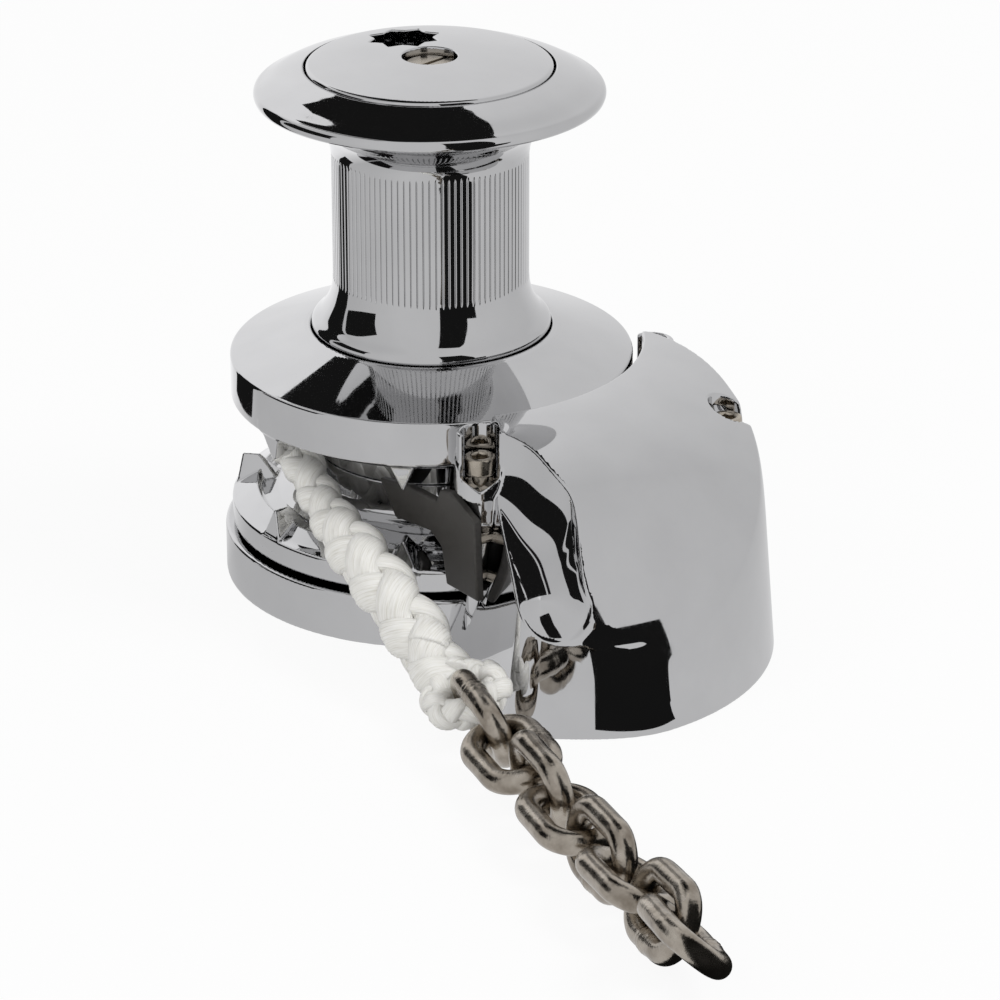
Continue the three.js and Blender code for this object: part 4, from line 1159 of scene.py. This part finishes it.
def cap_screw_field(x, y, z):
    head = rod(x, y, z, (0, 0), 8, 173.4, 177.5, 0.9)
    stem = rod(x, y, z, (0, 0), 3, 152, 175)
    cosine, sine = math.cos(SLOT_TURN), math.sin(SLOT_TURN)
    u, v = x * cosine + y * sine, -x * sine + y * cosine
    slot = np.maximum(np.abs(v) - 0.9, 175.9 - z)
    return smax(np.minimum(head, stem), -np.maximum(slot, np.abs(u) - 20), 0.35)


carve(
    "cap_screw_turned", cap_screw_field, (-8, -8, 152), (8, 8, 177.5), 0.35,
    "shaft", "screw_steel", "cap_screw",
)

# Inner pieces keep their solids
KEPT = {
    "shaft_steel": ["main_shaft", "low_key", "drum_key", "pressure_arm", "arm_pin"],
    "bronze": ["shaft_bush", "gypsy_bush", "thrust_washer", "clutch_cone"],
    "seal_rubber": ["shaft_seal"],
    "spring_steel": ["arm_spring"],
    "screw_steel": [
        "cap_screw_washer", "arm_clip", "stripper_screw_1", "stripper_screw_2",
        "gypsy_screw_1", "gypsy_screw_2", "gypsy_screw_3", "gypsy_screw_4",
    ],
}
for _slot, _names in KEPT.items():
    for _name in _names:
        for _place in bpy.data.objects[frame["nodes"][_name].name].material_slots:
            _place.link = "OBJECT"
            _place.material = MATERIALS[_slot]


# Studio: what polished metal sees of it, as brightness round the compass (0 is +Y, 90 is +X)
SURROUND = [
    (-180, 0.70), (-120, 0.71), (-80, 0.64), (-50, 0.60), (-32, 0.80), (-15, 1.0), (5, 1.0),
    (20, 0.86), (45, 0.77), (80, 0.67), (120, 0.69), (160, 0.72), (180, 0.70),
]
DIFFUSE_SKY = 0.62
FLOOR_SIZE = 8.0
FLOOR_GLOW = 0.92


def new_nodes(tree, *kinds):
    return [tree.nodes.new(kind) for kind in kinds]


def link(tree, *pairs):
    for source, target in pairs:
        tree.links.new(source, target)


def bare_material(name):
    mat = bpy.data.materials.new(name)
    mat.use_nodes = True
    mat.node_tree.nodes.clear()
    return mat, mat.node_tree


def surround_tone(tree, direction):
    """Nodes that turn a direction or a place into the brightness of the surroundings there."""
    split, angle, share, tone = new_nodes(
        tree, "ShaderNodeSeparateXYZ", "ShaderNodeMath", "ShaderNodeMapRange", "ShaderNodeValToRGB"
    )
    angle.operation = "ARCTAN2"
    set_inputs(share, {"From Min": -math.pi, "From Max": math.pi})
    link(
        tree, (direction, split.inputs[0]),
        (split.outputs["X"], angle.inputs[0]), (split.outputs["Y"], angle.inputs[1]),
        (angle.outputs[0], share.inputs["Value"]), (share.outputs["Result"], tone.inputs["Fac"]),
    )
    set_stops(tone, [((azimuth + 180) / 360, (value, value, value * 1.01)) for azimuth, value in SURROUND])
    return tone.outputs["Color"]


def mix(tree, weight, plain, other):
    node = tree.nodes.new("ShaderNodeMixShader")
    link(tree, *zip((weight, plain, other), node.inputs))
    return node.outputs[0]


def split_by_ray(tree, out, plain, white, glossy, glow):
    """Plain for the light on matt pieces, white for the camera, and glossy for polished metal."""
    path, seen, weight = new_nodes(tree, "ShaderNodeLightPath", "ShaderNodeMath", "ShaderNodeMath")
    seen.operation = "MAXIMUM"
    weight.operation = "MULTIPLY"
    weight.inputs[1].default_value = glow
    link(
        tree, (path.outputs["Is Camera Ray"], seen.inputs[0]),
        (path.outputs["Is Transmission Ray"], seen.inputs[1]), (seen.outputs[0], weight.inputs[0]),
    )
    shown = mix(tree, weight.outputs[0], plain.outputs[0], white.outputs[0])
    shown = mix(tree, path.outputs["Is Glossy Ray"], shown, glossy.outputs[0])
    tree.links.new(shown, out.inputs["Surface"])


def floor():
    bpy.ops.mesh.primitive_plane_add(size=FLOOR_SIZE, location=(0, 0, 0))
    made = bpy.context.object
    made.name = "floor"
    mat, tree = bare_material("floor_white")
    out, matt, place = new_nodes(
        tree, "ShaderNodeOutputMaterial", "ShaderNodeBsdfDiffuse", "ShaderNodeNewGeometry"
    )
    white, glossy = new_nodes(tree, "ShaderNodeEmission", "ShaderNodeEmission")
    matt.inputs["Color"].default_value = (0.8, 0.8, 0.8, 1)
    tree.links.new(surround_tone(tree, place.outputs["Position"]), glossy.inputs["Color"])
    split_by_ray(tree, out, matt, white, glossy, FLOOR_GLOW)
    made.data.materials.append(mat)


def card_material():
    mat, tree = bare_material("card_black")
    glow, out = new_nodes(tree, "ShaderNodeEmission", "ShaderNodeOutputMaterial")
    glow.inputs["Color"].default_value = (0.010, 0.010, 0.010, 1)
    tree.links.new(glow.outputs[0], out.inputs["Surface"])
    return mat


CARD_BLACK = card_material()


def card(name, corners):
    """A dark card that only shows as a reflection in polished metal."""
    mesh = bpy.data.meshes.new(name)
    mesh.from_pydata(to_row(corners).tolist(), [], [tuple(range(len(corners)))])
    mesh.materials.append(CARD_BLACK)
    made = place_object(name, mesh)
    for flag in ("camera", "diffuse", "shadow", "transmission", "volume_scatter"):
        setattr(made, f"visible_{flag}", False)


def standing_card(name, left, right, low, high):
    card(name, [(*left, low), (*right, low), (*right, high), (*left, high)])


def wedge(name, from_azimuth, to_azimuth, near, far, height):
    """A flat card between two compass directions and two distances from the shaft."""
    rim = []
    corners = ((from_azimuth, near), (from_azimuth, far), (to_azimuth, far), (to_azimuth, near))
    for azimuth, distance in corners:
        a = math.radians(azimuth)
        rim.append((distance * math.sin(a), distance * math.cos(a), height))
    card(name, rim)


CARD_FOOT = 0.6
CARD_CEILING = 775
FRONT_FLOOR = [(-6, -154), (30, -154), (60, -190), (166, -320), (-59, -320)]
ABOVE = [(240, -60), (240, 330), (200, 700), (-150, 760), (-210, 560), (-190, -60)]
ABOVE_STRIP = [(-225, -60), (-240, 560), (-290, 560), (-290, -60)]


def cards():
    card("card_front_floor", [(*corner, CARD_FOOT) for corner in FRONT_FLOOR])
    standing_card("card_front_low", (-59, -320), (166, -320), CARD_FOOT, 110)
    standing_card("card_front_tall", (-92, -420), (130, -420), CARD_FOOT, 760)
    wedge("card_left_floor", 309, 332, 195, 1000, CARD_FOOT)
    standing_card("card_left_tall", (-776, 628), (-470, 882), CARD_FOOT, 740)
    standing_card("card_left_mid", (-897, -78), (-740, 512), 60, 640)
    card("card_above", [(*corner, CARD_CEILING) for corner in ABOVE])
    card("card_above_strip", [(*corner, CARD_CEILING) for corner in ABOVE_STRIP])


def world():
    scene_world = bpy.data.worlds.new("studio")
    bpy.context.scene.world = scene_world
    scene_world.use_nodes = True
    tree = scene_world.node_tree
    tree.nodes.clear()
    out, place = new_nodes(tree, "ShaderNodeOutputWorld", "ShaderNodeTexCoord")
    sky, white, glossy = new_nodes(tree, *["ShaderNodeBackground"] * 3)
    sky.inputs["Color"].default_value = (DIFFUSE_SKY, DIFFUSE_SKY, DIFFUSE_SKY, 1)
    white.inputs["Color"].default_value = (1, 1, 1, 1)
    tree.links.new(surround_tone(tree, place.outputs["Generated"]), glossy.inputs["Color"])
    split_by_ray(tree, out, sky, white, glossy, 1.0)


LIGHTS_AIM = Vector((0, 0, 0.08))


def area_light(name, place, energy, size):
    data = bpy.data.lights.new(name, "AREA")
    data.energy = energy
    data.shape = "RECTANGLE"
    data.size, data.size_y = size
    made = place_object(name, data)
    made.location = place
    made.rotation_euler = (LIGHTS_AIM - Vector(place)).to_track_quat("-Z", "Y").to_euler()
    made.visible_glossy = False


world()
floor()
cards()
area_light("key", (1.3, -0.9, 1.9), 22.0, (0.9, 0.9))
area_light("fill", (-1.6, -0.8, 1.4), 10.0, (1.4, 1.4))

VIEW = bpy.context.scene.view_settings
VIEW.view_transform = "Standard"
